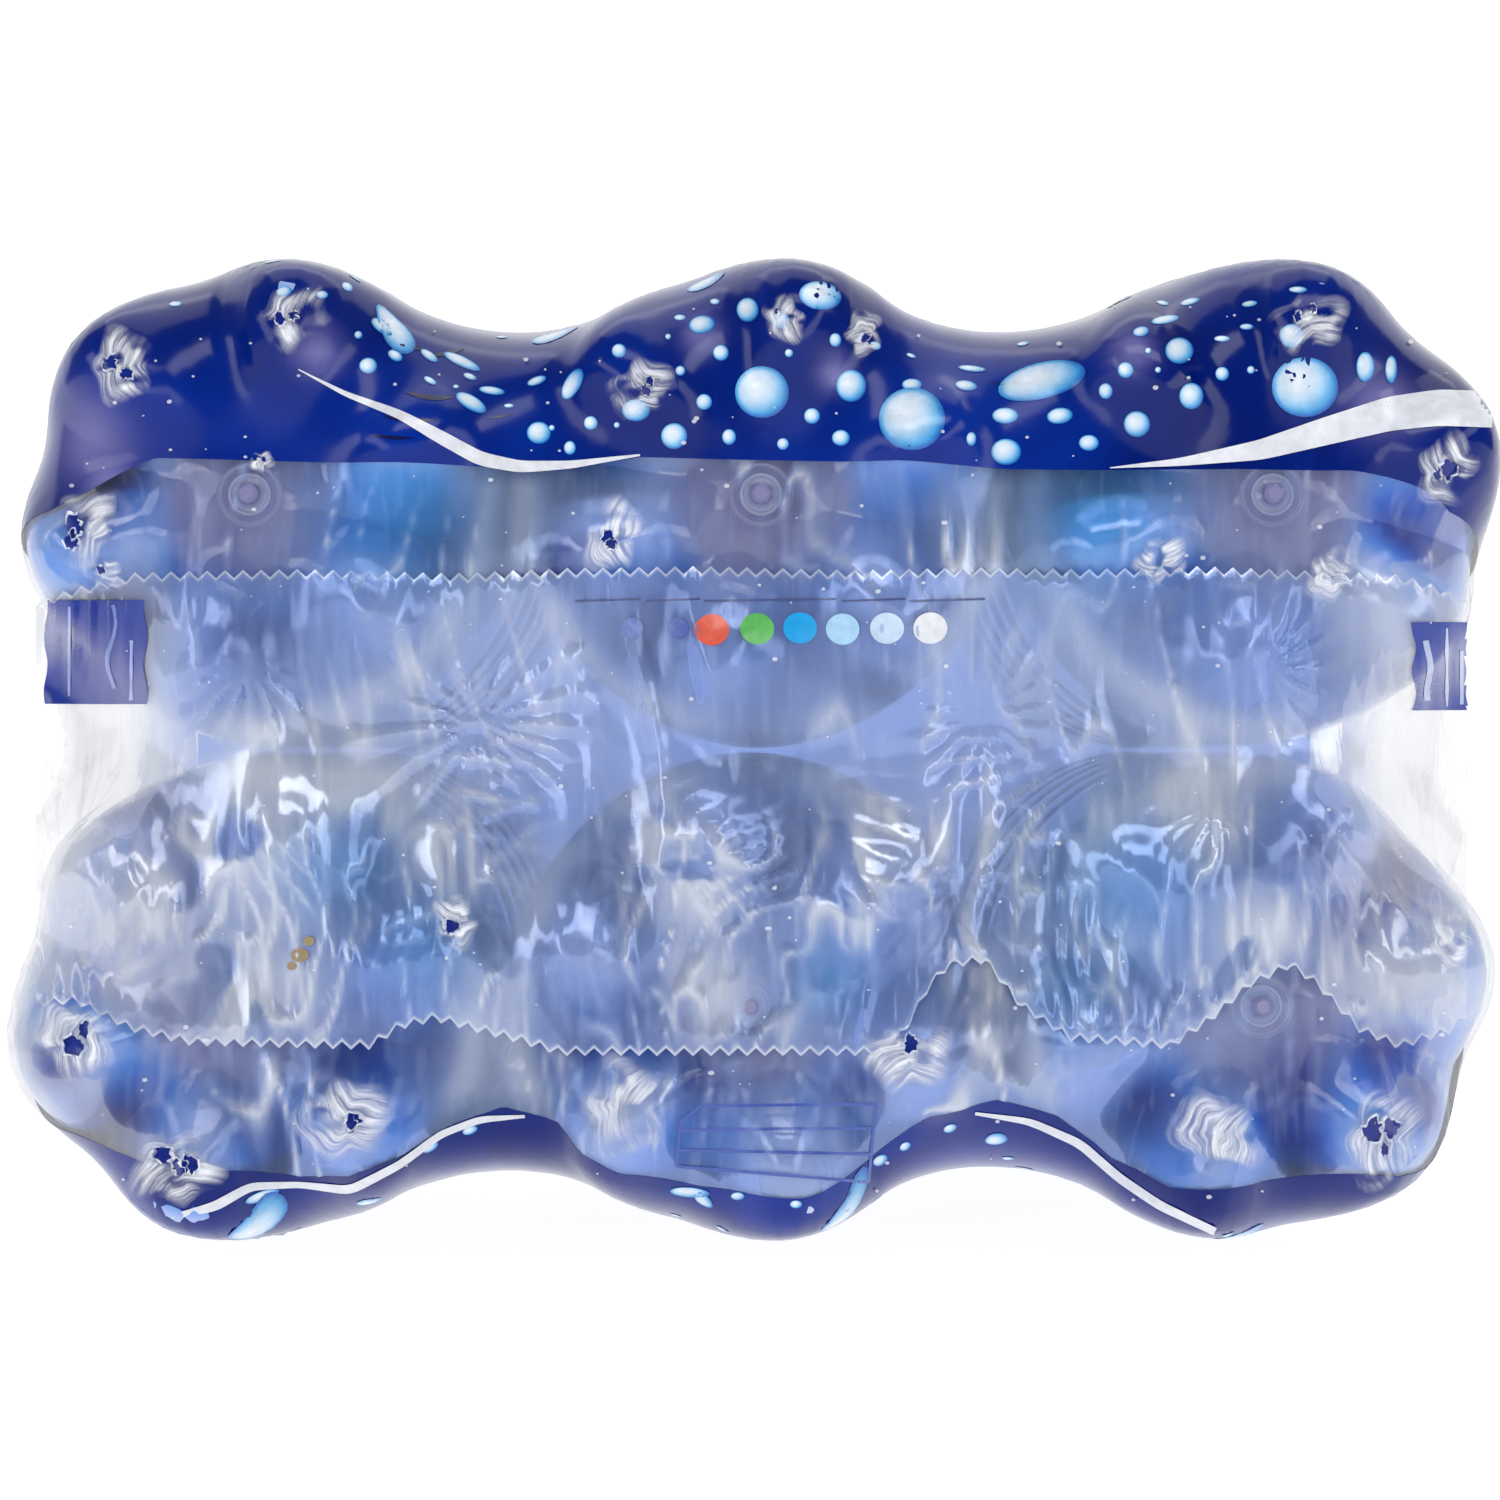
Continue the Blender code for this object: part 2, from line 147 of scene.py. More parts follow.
FLAP_TOP = (
    (34, 604), (80, 590), (135, 576), (300, 573), (450, 577), (560, 572), (700, 570), (860, 574),
    (980, 571), (1090, 573), (1200, 570), (1400, 578), (1440, 590), (1472, 606),
)
FLAP_BOTTOM = (
    (34, 1004), (75, 1000), (130, 1028), (190, 1042), (370, 1046), (400, 1026), (435, 1018),
    (480, 1030), (520, 1040), (560, 1052), (880, 1052), (905, 1030), (930, 985), (950, 964), (985, 960),
    (1020, 1005), (1070, 1038), (1170, 1046), (1212, 1018), (1250, 984), (1290, 965), (1315, 982),
    (1360, 1030), (1400, 1046), (1450, 1030), (1472, 1010),
)
PINCHES = (
    (962, 880, 55), (462, 915, 40), (640, 880, 34), (1215, 800, 50), (985, 715, 130), (475, 725, 120),
    (250, 665, 90), (1262, 665, 90),
)
BUBBLES = (
    (284, 292, 8, 5, 10), (322, 295, 6, 4, 0), (347, 287, 6, 4, -30), (382, 327, 13, 6, -35),
    (358, 335, 4, 4, 0), (368, 366, 9, 8, 0), (395, 356, 8, 5, -30), (429, 356, 10, 4, -35),
    (462, 362, 20, 5, -25), (430, 381, 7, 3, -30), (470, 377, 7, 3, -20), (492, 391, 13, 4, -8),
    (537, 381, 10, 4, 20), (456, 387, 3, 2, 0), (471, 403, 17, 7, -30), (509, 406, 5, 2, 0),
    (573, 384, 17, 8, 60), (539, 433, 12, 11, 0), (552, 428, 3, 3, 0), (570, 448, 6, 7, 0),
    (591, 423, 7, 7, 0), (617, 425, 3, 3, 0), (619, 351, 7, 7, 0), (668, 337, 3, 3, 0),
    (680, 318, 6, 3, 0), (680, 371, 5, 5, 0), (702, 325, 13, 9, 8), (721, 353, 8, 8, 0),
    (748, 310, 11, 12, 0), (704, 402, 8, 8, 0), (674, 436, 13, 13, 0), (729, 437, 7, 8, 0),
    (715, 302, 5, 3, 0), (636, 410, 14, 11, 0), (762, 392, 27, 26, 0), (780, 320, 9, 9, 0),
    (820, 296, 21, 14, -8), (835, 340, 6, 7, 0), (789, 353, 4, 4, 0), (851, 386, 15, 16, 0),
    (812, 416, 8, 8, 0), (783, 444, 6, 6, 0), (841, 438, 9, 8, 0), (875, 346, 6, 4, -20),
    (911, 356, 5, 2, -20), (912, 385, 10, 6, 0), (912, 419, 33, 31, 0), (966, 386, 11, 5, -8),
    (972, 369, 14, 3, -6), (971, 439, 5, 7, 0), (1005, 416, 13, 8, 0), (1006, 452, 15, 13, 0),
    (1042, 381, 45, 18, 14), (1060, 416, 13, 8, 8), (1089, 443, 10, 8, 0), (1106, 391, 7, 8, 0),
    (1126, 370, 8, 8, 0), (1137, 424, 13, 13, 0), (1141, 332, 8, 5, 10), (1148, 351, 3, 3, 0),
    (1158, 370, 3, 3, 0), (1179, 351, 14, 13, 0), (1191, 396, 12, 13, 0), (1222, 374, 7, 7, 0),
    (1222, 339, 8, 3, 0), (1251, 370, 4, 4, 0), (1292, 336, 12, 12, 0), (1305, 387, 33, 30, 0),
    (1365, 367, 9, 15, 0), (1391, 370, 6, 14, 0), (1298, 290, 9, 3, 0), (1250, 304, 8, 3, 8),
    (1165, 320, 14, 4, 10), (1247, 327, 7, 3, 0), (1190, 302, 10, 3, 14), (262, 1196, 18, 5, 20),
    (430, 1147, 9, 4, 30), (470, 1130, 8, 4, 20), (690, 1192, 20, 5, -4), (738, 1196, 7, 4, 0),
    (796, 1204, 6, 4, 0), (880, 1160, 8, 5, 30), (905, 1146, 6, 4, 30), (950, 1128, 7, 4, 20),
    (1035, 1124, 8, 4, -15),
)
RIBBONS = (
    (
        (298, 369, 1), (345, 394, 5), (400, 415, 9), (440, 437, 13), (480, 459, 14), (520, 467, 12),
        (570, 465, 8), (640, 455, 2),
    ),
    (
        (1110, 468, 1), (1180, 462, 8), (1260, 450, 20), (1330, 430, 28), (1390, 414, 34),
        (1440, 408, 36), (1496, 410, 36),
    ),
    (
        (172, 1216, 4), (215, 1206, 10), (250, 1186, 8), (300, 1184, 6), (350, 1190, 9),
        (400, 1164, 8), (440, 1134, 7), (480, 1119, 7), (525, 1116, 3),
    ),
    ((975, 1113, 3), (1030, 1121, 7), (1080, 1143, 9), (1120, 1178, 9), (1160, 1205, 9), (1215, 1231, 8)),
)
# Pleats are painted shade: thin dark bands that stand for the shadows in small wrinkles of the print.
PLEAT_SHADOWS = (
    (405, 345, 46, 5, 12), (430, 395, 50, 6, 6), (410, 418, 54, 5, 4), (392, 436, 46, 4, 4),
    (445, 352, 40, 5, -10), (500, 416, 30, 3, -10), (1010, 386, 34, 4, 14),
)
# Each bar: middle, sway, rows of pixels, length of a wave, width, swell, its power, colour, lift.
BARS = (
    (96, 0, range(600, 706, 8), 9, 100, 6, 1, "#22389A", 0.00012),
    (1442, 0, range(622, 712, 8), 7, 56, 8, 1, "#2E429E", 0.00012),
    (70, 0, range(606, 700, 6), 6, 2, 2, 2, "#8FA0D8", 0.00020),
    (112, 5, range(604, 690, 6), 12, 4, 0, 1, "#7E90D0", 0.00020),
    (132, 0, range(640, 702, 6), 5, 3, 1.5, 1, "#9DADE0", 0.00020),
    (1428, 3, range(640, 706, 6), 8, 6, 0, 1, "#B4C0E6", 0.00020),
    (1446, 0, range(628, 708, 6), 6, 3, 1.5, 1, "#C2CCEC", 0.00020),
    (1461, 0, range(650, 708, 6), 6, 4, 0, 1, "#A9B7E4", 0.00020),
)
RULES = ((575, 640), (646, 700), (704, 836), (842, 905), (910, 985))
FRAME_LINE = ((700, 1106), (876, 1104), (868, 1182), (676, 1166), (680, 1122), (700, 1106))
FRAME_BARS = (((680, 1130), (873, 1128)), ((677, 1150), (870, 1154)))
DIRT = ((300, 955, 9), (309, 941, 6), (292, 966, 5))
DOTS = (
    (632, 628, "#6C7FC0", 11), (678, 628, "#5A6DB4", 11), (712, 630, "#E0604A", 17),
    (757, 629, "#5CB85C", 17), (800, 628, "#1FA3E8", 17), (843, 629, "#A8D4F5", 17),
    (887, 628, "#C9DFF7", 17), (930, 628, "#EEF1F5", 17),
)
# Azure patches are painted light: bright light refracted through the bottles' bases, painted into the
# bottles' colour and bluing the film over them.
PAINTED_AZURE_LIGHT_PATCHES = (
    (410, 512, 80), (1085, 512, 84), (425, 940, 56), (1120, 890, 80), (350, 870, 56), (830, 980, 40),
    (1070, 985, 44),
)
# Deep patches are painted dark refraction: the blue print seen through the bottles' bases, painted into the
# bottles' colour; the film over them is kept clearer.
PAINTED_DARK_REFRACTION_PATCHES = (
    (95, 505, 42), (600, 870, 40), (965, 905, 45), (480, 930, 34), (330, 1072, 44), (655, 1010, 40),
    (1310, 850, 40), (60, 1065, 32), (1290, 1085, 40), (705, 1085, 34), (860, 1085, 34), (560, 560, 34),
    (110, 1130, 50), (255, 1120, 34), (1150, 1110, 40), (980, 1030, 40), (640, 640, 40), (880, 690, 40),
    (770, 880, 26), (755, 750, 60), (250, 640, 34), (1400, 880, 30), (140, 800, 30),
)
WHITE_PATCHES = (
    (260, 850, 100), (360, 800, 50), (1110, 860, 50), (240, 990, 80), (1120, 935, 50), (1250, 930, 60),
    (700, 890, 55), (160, 900, 60), (845, 890, 55), (705, 1000, 60), (110, 970, 50), (1390, 980, 60),
    (1240, 1010, 60), (1200, 830, 60),
)
# Pale patches are painted sheen: pale violet highlights on the blue print.
PAINTED_SHEEN_PATCHES = (
    (84, 440, 40), (104, 478, 26), (318, 352, 20), (1384, 402, 32), (1130, 352, 20), (835, 372, 16),
    (700, 330, 18),
)
FANS = ((235, 700, 360, 44), (690, 760, 280, 38), (860, 770, 270, 34), (1225, 700, 360, 46))
SCUFFS = (
    (122, 366, 34, 2), (292, 318, 34, 2), (640, 388, 30, 2), (785, 320, 22, 1), (862, 334, 22, 1),
    (1310, 322, 34, 2), (1446, 470, 34, 2), (84, 528, 38, 2), (104, 572, 20, 1), (262, 462, 12, 1),
    (612, 536, 34, 2), (72, 1038, 40, 2), (176, 1168, 42, 3), (345, 1120, 46, 2), (622, 1106, 46, 0),
    (908, 1056, 40, 1), (1215, 1134, 44, 0), (1382, 1138, 44, 3), (1330, 575, 26, 0),
    (1160, 560, 26, 0), (455, 922, 26, 1), (1450, 940, 26, 0),
)


def pack_settings():
    return bpy.context.scene.six_pack


class SixPackSettings(bpy.types.PropertyGroup):
    """Sizes of the pack that a user would change."""

    wall: bpy.props.FloatProperty(
        name="Bottle wall", description="Thickness of a bottle's wall", default=0.00045, unit="LENGTH"
    )
    gas_depth: bpy.props.FloatProperty(
        name="Gas depth",
        description="Depth of the pocket of gas above the drink",
        default=0.0065,
        unit="LENGTH",
    )
    film_clearance: bpy.props.FloatProperty(
        name="Film clearance",
        description="How far the film stands off the bottles",
        default=0.0004,
        unit="LENGTH",
    )
    film_thickness: bpy.props.FloatProperty(
        name="Film thickness", description="Thickness of the film as drawn", default=0.00012, unit="LENGTH"
    )
    film_hollow: bpy.props.FloatProperty(
        name="Film hollow",
        description="Radius to which the film is drawn in between bottles",
        default=0.050,
        unit="LENGTH",
    )
    wrinkle_height: bpy.props.FloatProperty(
        name="Wrinkle height", description="Height of the film's wrinkles", default=0.0009, unit="LENGTH"
    )
    camera_distance: bpy.props.FloatProperty(
        name="Camera distance",
        description="From the camera to the bottles' feet",
        default=DISTANCE,
        unit="LENGTH",
    )


def srgb(text):
    """An sRGB hex colour as linear red, green, blue and alpha."""
    parts = [int(text[i : i + 2], 16) / 255 for i in (1, 3, 5)]
    return tuple(c / 12.92 if c <= 0.04045 else ((c + 0.055) / 1.055) ** 2.4 for c in parts) + (1.0,)


def add_node(material, kind, sockets=None, stops=None, **settings):
    """Adds a shader node with its settings, its sockets' values or links, and a ramp's stops."""
    tree = material.node_tree
    made = tree.nodes.new("ShaderNode" + kind)
    for key, value in settings.items():
        setattr(made, key, value)
    for key, value in (sockets or {}).items():
        if isinstance(value, bpy.types.NodeSocket):
            tree.links.new(value, made.inputs[key])
        else:
            made.inputs[key].default_value = value
    if stops:
        ramp = made.color_ramp.elements
        while len(ramp) < len(stops):
            ramp.new(0.5)
        for element, (place, colour) in zip(ramp, stops):
            element.position = place
            element.color = srgb(colour) if isinstance(colour, str) else (colour, colour, colour, 1.0)
    return made


def new_material(name):
    """A node material with nothing but its output."""
    material = bpy.data.materials.new(name)
    material.use_nodes = True
    material.node_tree.nodes.clear()
    add_node(material, "OutputMaterial")
    return material


def show(material, shader):
    """Links a shader to its material's output."""
    tree = material.node_tree
    tree.links.new(shader.outputs[0], tree.nodes[0].inputs["Surface"])
    return material


def show_through(material, shader, cover, colour=None):
    """Shows a shader with the share that cover says, and elsewhere what is behind it."""
    clear = add_node(material, "BsdfTransparent", {"Color": srgb(colour)} if colour else None)
    mixed = add_node(
        material, "MixShader", {0: cover, 1: clear.outputs["BSDF"], 2: shader.outputs["BSDF"]}
    )
    return show(material, mixed)


def axis_of(column, row):
    """The (x, z) place of a bottle's axis."""
    return (column - 1) * PITCH + ROW_SHIFTS[row], MIDDLE + (row - 0.5) * PITCH


def petal_share(angle):
    """1 along a foot's crest and 0 along the valley between two feet."""
    return (0.5 + 0.5 * np.cos(FOOT_COUNT * angle)) ** FOOT_FULLNESS


def deselect_all():
    for found in bpy.context.selected_objects:
        found.select_set(False)


def finish_piece(obj, name, material, slot, *replaced, smooth=40):
    """Names a finished piece, gives it its material and ties it to the frame."""
    obj.name = obj.data.name = name
    obj.data.materials.clear()
    obj.data.materials.append(material)
    if smooth:
        obj.data.shade_smooth()
        obj.data.set_sharp_from_angle(angle=math.radians(smooth))
    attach(obj, "root")
    if replaced:
        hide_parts(*replaced)
    return obj


def select_only(obj):
    deselect_all()
    obj.select_set(True)
    bpy.context.view_layer.objects.active = obj


def object_from(name, points, faces, edges=()):
    """A new selected object from points and faces."""
    data = bpy.data.meshes.new(name)
    data.from_pydata([tuple(point) for point in points], edges, faces)
    made = bpy.data.objects.new(name, data)
    bpy.context.scene.collection.objects.link(made)
    select_only(made)
    return made


def copy_of(first):
    """A selected copy of an object, with a mesh of its own."""
    made = first.copy()
    made.data = first.data.copy()
    bpy.context.scene.collection.objects.link(made)
    select_only(made)
    return made


def spin_profile(name, profile, steps):
    """Spins a chain of (radius, height) points about Z into a skin with its poles closed."""
    chain = [(radius, 0.0, height) for radius, height in profile]
    made = object_from(name, chain, [], [(i, i + 1) for i in range(len(chain) - 1)])
    bpy.ops.object.mode_set(mode="EDIT")
    bpy.ops.mesh.select_all(action="SELECT")
    bpy.ops.mesh.spin(steps=steps, angle=2 * math.pi, center=(0, 0, 0), axis=(0, 0, 1))
    bpy.ops.mesh.select_all(action="SELECT")
    bpy.ops.mesh.remove_doubles(threshold=0.00001)
    bpy.ops.mesh.normals_make_consistent(inside=False)
    bpy.ops.object.mode_set(mode="OBJECT")
    return made


def mesh_points(obj):
    points = np.empty(len(obj.data.vertices) * 3)
    obj.data.vertices.foreach_get("co", points)
    return points.reshape(-1, 3)


def set_points(obj, points):
    obj.data.vertices.foreach_set("co", np.ascontiguousarray(points, float).ravel())
    obj.data.update()


def press_feet(points):
    """Presses the valleys between the six feet into a turned base."""
    radius = np.hypot(points[:, 0], points[:, 1])
    angle = np.arctan2(points[:, 1], points[:, 0])
    height = points[:, 2]
    steps = np.arange(len(CREST), dtype=float)
    by_radius = np.interp(radius, CREST[:, 0], steps)
    by_height = np.interp(height, CREST[-4:, 1], steps[-4:])
    place = np.where((radius > 0.0424) | (height > 0.0175), by_height, by_radius)
    share = petal_share(angle)
    in_base = (height < 0.0441) & (radius > 0.0060)
    straight = height > CREST[-1, 1]
    valley_radius = np.interp(place, steps, VALLEY[:, 0])
    valley_height = np.interp(place, steps, VALLEY[:, 1])
    crest_radius = np.interp(place, steps, CREST[:, 0])
    crest_height = np.interp(place, steps, CREST[:, 1])
    top = VALLEY[-1, 1]
    stretch = (height - CREST[-1, 1]) / (top - CREST[-1, 1])
    valley_height = np.where(straight, top + 0.0005 * stretch, valley_height)
    crest_height = np.where(straight, height, crest_height)
    new_radius = valley_radius + share * (crest_radius - valley_radius)
    new_height = valley_height + share * (crest_height - valley_height)
    scale = np.where(in_base, new_radius / np.maximum(radius, 1e-9), 1.0)
    out = points.copy()
    out[:, 0] *= scale
    out[:, 1] *= scale
    out[:, 2] = np.where(in_base, new_height, height)
    return out


def bottle_profile():
    """The outer profile of a bottle: gate, crest of the feet, ribbed body, shoulder and neck."""
    profile = list(GATE) + list(GATE_RINGS)
    steps = np.arange(len(CREST))
    fine = np.linspace(3, len(CREST) - 1, 40)
    profile += list(zip(np.interp(fine, steps, CREST[:, 0]), np.interp(fine, steps, CREST[:, 1])))
    profile += [(0.0438, 0.0395), (0.0438, 0.0440), (RADIUS, 0.0560)]
    for groove in GROOVES:
        for step in (-1, -0.6, -0.25, 0.25, 0.6, 1):
            depth = GROOVE_DEPTH * (0.5 + 0.5 * math.cos(math.pi * step))
            profile.append((RADIUS - depth, groove + step * GROOVE_HALF_WIDTH))
    profile += [(RADIUS, 0.190)]
    return profile + list(SHOULDER)


def lay_down(points, column, row):
    """Turns a standing bottle's points about its axis and lays it in its place in the pack."""
    turn = math.radians(FOOT_TURNS[row][column])
    x, z = axis_of(column, row)
    across = points[:, 0] * math.cos(turn) - points[:, 1] * math.sin(turn)
    up = points[:, 0] * math.sin(turn) + points[:, 1] * math.cos(turn)
    return np.column_stack((x + SLACK * across, FEET_Y + SETBACK + points[:, 2], z + SLACK * up))


def lay_object(obj, column, row):
    """Lays a finished standing piece down; the laying mirrors it, so its faces are turned back out."""
    set_points(obj, lay_down(mesh_points(obj), column, row))
    obj.data.flip_normals()


# Colours painted over the bottles' tint, all painted light: a dim view down the bottle at the gate, azure
# refracted light, dark refraction and highlights on the gate's rings.
PET_PAINTED_LIGHT = (("middle", "#9490BC"), ("painted_azure_light", "#44B0FF"), ("painted_dark_refraction", "#0E2E9E"), ("painted_ring_highlight", "#D6DAF2"))


def polyethylene_terephthalate():
    """Blow-moulded PET, tinted blue: glassy along the body, thicker and milkier in the six-footed base,
    with painted light in the base's colour: azure refracted light, dark refraction, a dim painted view down
    the bottle at the gate, painted highlights on the gate's rings and painted light on the heels.
    """
    material = new_material("PET, blow-moulded, blue")
    place = add_node(material, "TexCoord")
    petal = add_node(material, "Attribute", attribute_name="petal")
    drift = add_node(
        material, "TexNoise",
        {"Vector": place.outputs["Object"], "Scale": 26.0, "Detail": 2.0, "Roughness": 0.5},
    )
    patchy = add_node(
        material, "MapRange",
        {
            "Value": drift.outputs["Fac"], "From Min": 0.3, "From Max": 0.7, "To Min": 0.22,
            "To Max": 0.80,
        },
    )
    # This also carries the painted heel light held in the petal attribute.
    milkiness_and_heel_light = add_node(
        material, "Math",
        {0: petal.outputs["Fac"], 1: 0.30, 2: patchy.outputs["Result"]}, operation="MULTIPLY_ADD",
    )
    tone = add_node(
        material, "ValToRGB",
        {"Fac": milkiness_and_heel_light.outputs["Value"]},
        stops=(
            (0.26, "#0C34B0"), (0.42, "#2472E8"), (0.54, "#569EFC"), (0.68, "#9ABCFF"),
            (0.88, "#D2E0FF"),
        ),
    )
    colour = tone.outputs["Color"]
    for name, over in PET_PAINTED_LIGHT:
        share = add_node(material, "Attribute", attribute_name=name)
        mixed = add_node(
            material, "Mix", {0: share.outputs["Fac"], 6: colour, 7: srgb(over)}, data_type="RGBA"
        )
        colour = mixed.outputs[2]
    axes = add_node(material, "SeparateXYZ", {"Vector": place.outputs["Object"]})
    glassy = add_node(
        material, "MapRange",
        {
            "Value": axes.outputs["Y"], "From Min": FEET_Y + 0.025, "From Max": FEET_Y + 0.09,
            "To Min": 0.20, "To Max": 0.90,
        },
    )
    waves = add_node(
        material, "TexNoise",
        {"Vector": place.outputs["Object"], "Scale": 60.0, "Detail": 2.0, "Roughness": 0.5},
    )
    bump = add_node(
        material, "Bump", {"Strength": 0.12, "Distance": 0.001, "Height": waves.outputs["Fac"]}
    )
    surface = add_node(
        material, "BsdfPrincipled",
        {
            "Base Color": colour, "Roughness": 0.06, "IOR": 1.57,
            "Transmission Weight": glassy.outputs["Result"], "Normal": bump.outputs["Normal"],
        },
    )
    return show(material, surface)


def sparkling_water():
    """Water with dissolved gas: clear, faintly blue from the bottle round it."""
    material = new_material("water")
    surface = add_node(
        material, "BsdfPrincipled",
        {"Base Color": srgb("#E4F0FF"), "Roughness": 0.0, "IOR": 1.333, "Transmission Weight": 1.0},
    )
    return show(material, surface)


def cap_plastic():
    """High-density polyethylene, injection-moulded, royal blue with a satin face."""
    material = new_material("HDPE, injection-moulded, blue")
    place = add_node(material, "TexCoord")
    grain = add_node(
        material, "TexNoise", {"Vector": place.outputs["Object"], "Scale": 900.0, "Detail": 3.0}
    )
    tone = add_node(
        material, "ValToRGB", {"Fac": grain.outputs["Fac"]}, stops=((0.3, "#0A2F96"), (0.7, "#0E3AA8"))
    )
    bump = add_node(
        material, "Bump", {"Strength": 0.15, "Distance": 0.0002, "Height": grain.outputs["Fac"]}
    )
    surface = add_node(
        material, "BsdfPrincipled",
        {
            "Base Color": tone.outputs["Color"], "Roughness": 0.38, "IOR": 1.54,
            "Normal": bump.outputs["Normal"],
        },
    )
    return show(material, surface)


def patches_at(x, z, patches):
    """Soft round patches, each (pixel across, pixel down, radius), as a share from 0 to 1."""
    total = np.zeros_like(x)
    for px, py, radius in patches:
        away = np.hypot(x - photo_x(px), z - photo_z(py))
        total = np.maximum(total, np.exp(-((away / (radius / PIXELS_PER_METRE)) ** 2)))
    return total


class SIXPACK_OT_bottles(bpy.types.Operator):
    """Blows the six bottles: ribbed bodies on six-footed bases"""

    bl_idname = "sixpack.bottles"
    bl_label = "Bottles"

    def execute(self, context):
        settings = pack_settings()
        material = polyethylene_terephthalate()
        first = spin_profile("bottle", bottle_profile(), 96)
        points = press_feet(mesh_points(first))
        set_points(first, points)
        radius = np.hypot(points[:, 0], points[:, 1])
        low = np.clip((0.045 - points[:, 2]) / 0.03, 0, 1)
        rise = np.clip((radius - 0.012) / 0.010, 0, 1)
        heel = np.clip((radius - 0.036) / 0.008, 0, 1)
        petal = petal_share(np.arctan2(points[:, 1], points[:, 0])) - 0.4
        # Painted light: the heels are lightened where they turn into shade between the bottles; this rides
        # in the petal attribute.
        painted_heel_light = 1.1 * heel * np.clip((0.085 - points[:, 2]) / 0.03, 0, 1)
        set_value(first, "petal", petal * rise * low + painted_heel_light)
        # The gate's middle disc is painted refraction: the dim view down the length of the bottle.
        set_value(first, "middle", np.clip((0.019 - radius) / 0.008, 0, 1) * low)
        # Painted highlights on the crests of the gate's rings.
        painted_ring_highlight = 0.9 * ((radius > 0.0028) & (radius < 0.0037))
        painted_ring_highlight = painted_ring_highlight + 0.5 * ((radius > 0.0050) & (radius < 0.0056))
        set_value(first, "painted_ring_highlight", painted_ring_highlight * low)
        for place in PLACES:
            obj = copy_of(first)
            lay_object(obj, *place)
            laid = mesh_points(obj)
            # Painted refraction on the base: azure light and dark refraction patches.
            for patch, places in (("painted_azure_light", PAINTED_AZURE_LIGHT_PATCHES), ("painted_dark_refraction", PAINTED_DARK_REFRACTION_PATCHES)):
                set_value(obj, patch, patches_at(laid[:, 0], laid[:, 2], places) * low)
            thicken(obj, settings.wall)
            name = NAMES[place]
            finish_piece(obj, "blown_bottle_" + name, material, "bottle_plastic", "bottle_" + name)
        bpy.data.objects.remove(first)
        return {"FINISHED"}


class SIXPACK_OT_water(bpy.types.Operator):
    """Fills the six bottles up to the pocket of gas along their upper sides"""

    bl_idname = "sixpack.water"
    bl_label = "Water"

    def execute(self, context):
        settings = pack_settings()
        material = sparkling_water()
        first = spin_profile("water", bottle_profile(), 96)
        set_points(first, press_feet(mesh_points(first)))
        for place in PLACES:
            obj = copy_of(first)
            lay_object(obj, *place)
            bpy.ops.object.mode_set(mode="EDIT")
            bpy.ops.mesh.select_all(action="SELECT")
            bpy.ops.transform.shrink_fatten(value=-0.6 * settings.wall, use_even_offset=True)
            bpy.ops.mesh.select_all(action="DESELECT")
            bpy.ops.mesh.select_non_manifold()
            bpy.ops.mesh.edge_face_add()
            bpy.ops.mesh.select_all(action="SELECT")
            level = axis_of(*place)[1] + RADIUS - settings.gas_depth
            bpy.ops.mesh.bisect(
                plane_co=(0, 0, level), plane_no=(0, 0, 1), use_fill=True, clear_outer=True, threshold=1e-6
            )
            bpy.ops.mesh.select_all(action="SELECT")
            bpy.ops.mesh.normals_make_consistent(inside=False)
            bpy.ops.object.mode_set(mode="OBJECT")
            name = NAMES[place]
            finish_piece(obj, "sparkling_water_" + name, material, "water", "water_" + name)
        bpy.data.objects.remove(first)
        return {"FINISHED"}


class SIXPACK_OT_caps(bpy.types.Operator):
    """Turns the six ribbed screw caps with their break-off bands"""

    bl_idname = "sixpack.caps"
    bl_label = "Caps"

    def execute(self, context):
        material = cap_plastic()
        profile = (
            (0.0, 0.3105), (0.0137, 0.3105), (0.0137, 0.2956), (0.0146, 0.2956), (0.0148, 0.2958),
            (0.0149, 0.2984), (0.0145, 0.2986), (0.0145, 0.2989), (0.0150, 0.2992), (0.0150, 0.3010),
            (0.0150, 0.3050), (0.0150, 0.3090), (0.0150, 0.3108), (0.0145, 0.3117), (0.0138, 0.3120),
            (0.0080, 0.3120), (0.0, 0.3120),
        )
        first = spin_profile("cap", profile, 144)
        points = mesh_points(first)
        radius = np.hypot(points[:, 0], points[:, 1])
        angle = np.arctan2(points[:, 1], points[:, 0])
        ribbed = (radius > 0.01495) & (points[:, 2] > 0.2995) & (points[:, 2] < 0.3110)
        rib = 1 - 0.018 * (np.cos(72 * angle) < 0)
        points[:, :2] *= np.where(ribbed, rib, 1.0)[:, None]
        set_points(first, points)
        for place in PLACES:
            obj = copy_of(first)
            lay_object(obj, *place)
            name = NAMES[place]
            finish_piece(obj, "screw_cap_" + name, material, "cap_plastic", "cap_" + name, smooth=30)
        bpy.data.objects.remove(first)
        return {"FINISHED"}


def base_height(radius, angle):
    """How high the underside of a bottle is above its feet at a point of its footprint."""
    on_crest = np.interp(radius, CREST[:, 0], CREST[:, 1])
    in_valley = np.interp(radius, VALLEY[:, 0], VALLEY[:, 1])
    beyond = 4 * np.maximum(radius - RADIUS, 0)
    return in_valley + petal_share(angle) * (on_crest - in_valley) + beyond


def top_height(radius):
    return np.interp(radius, CAP_COVER[:, 0], CAP_COVER[:, 1]) - 4 * np.maximum(radius - RADIUS, 0)


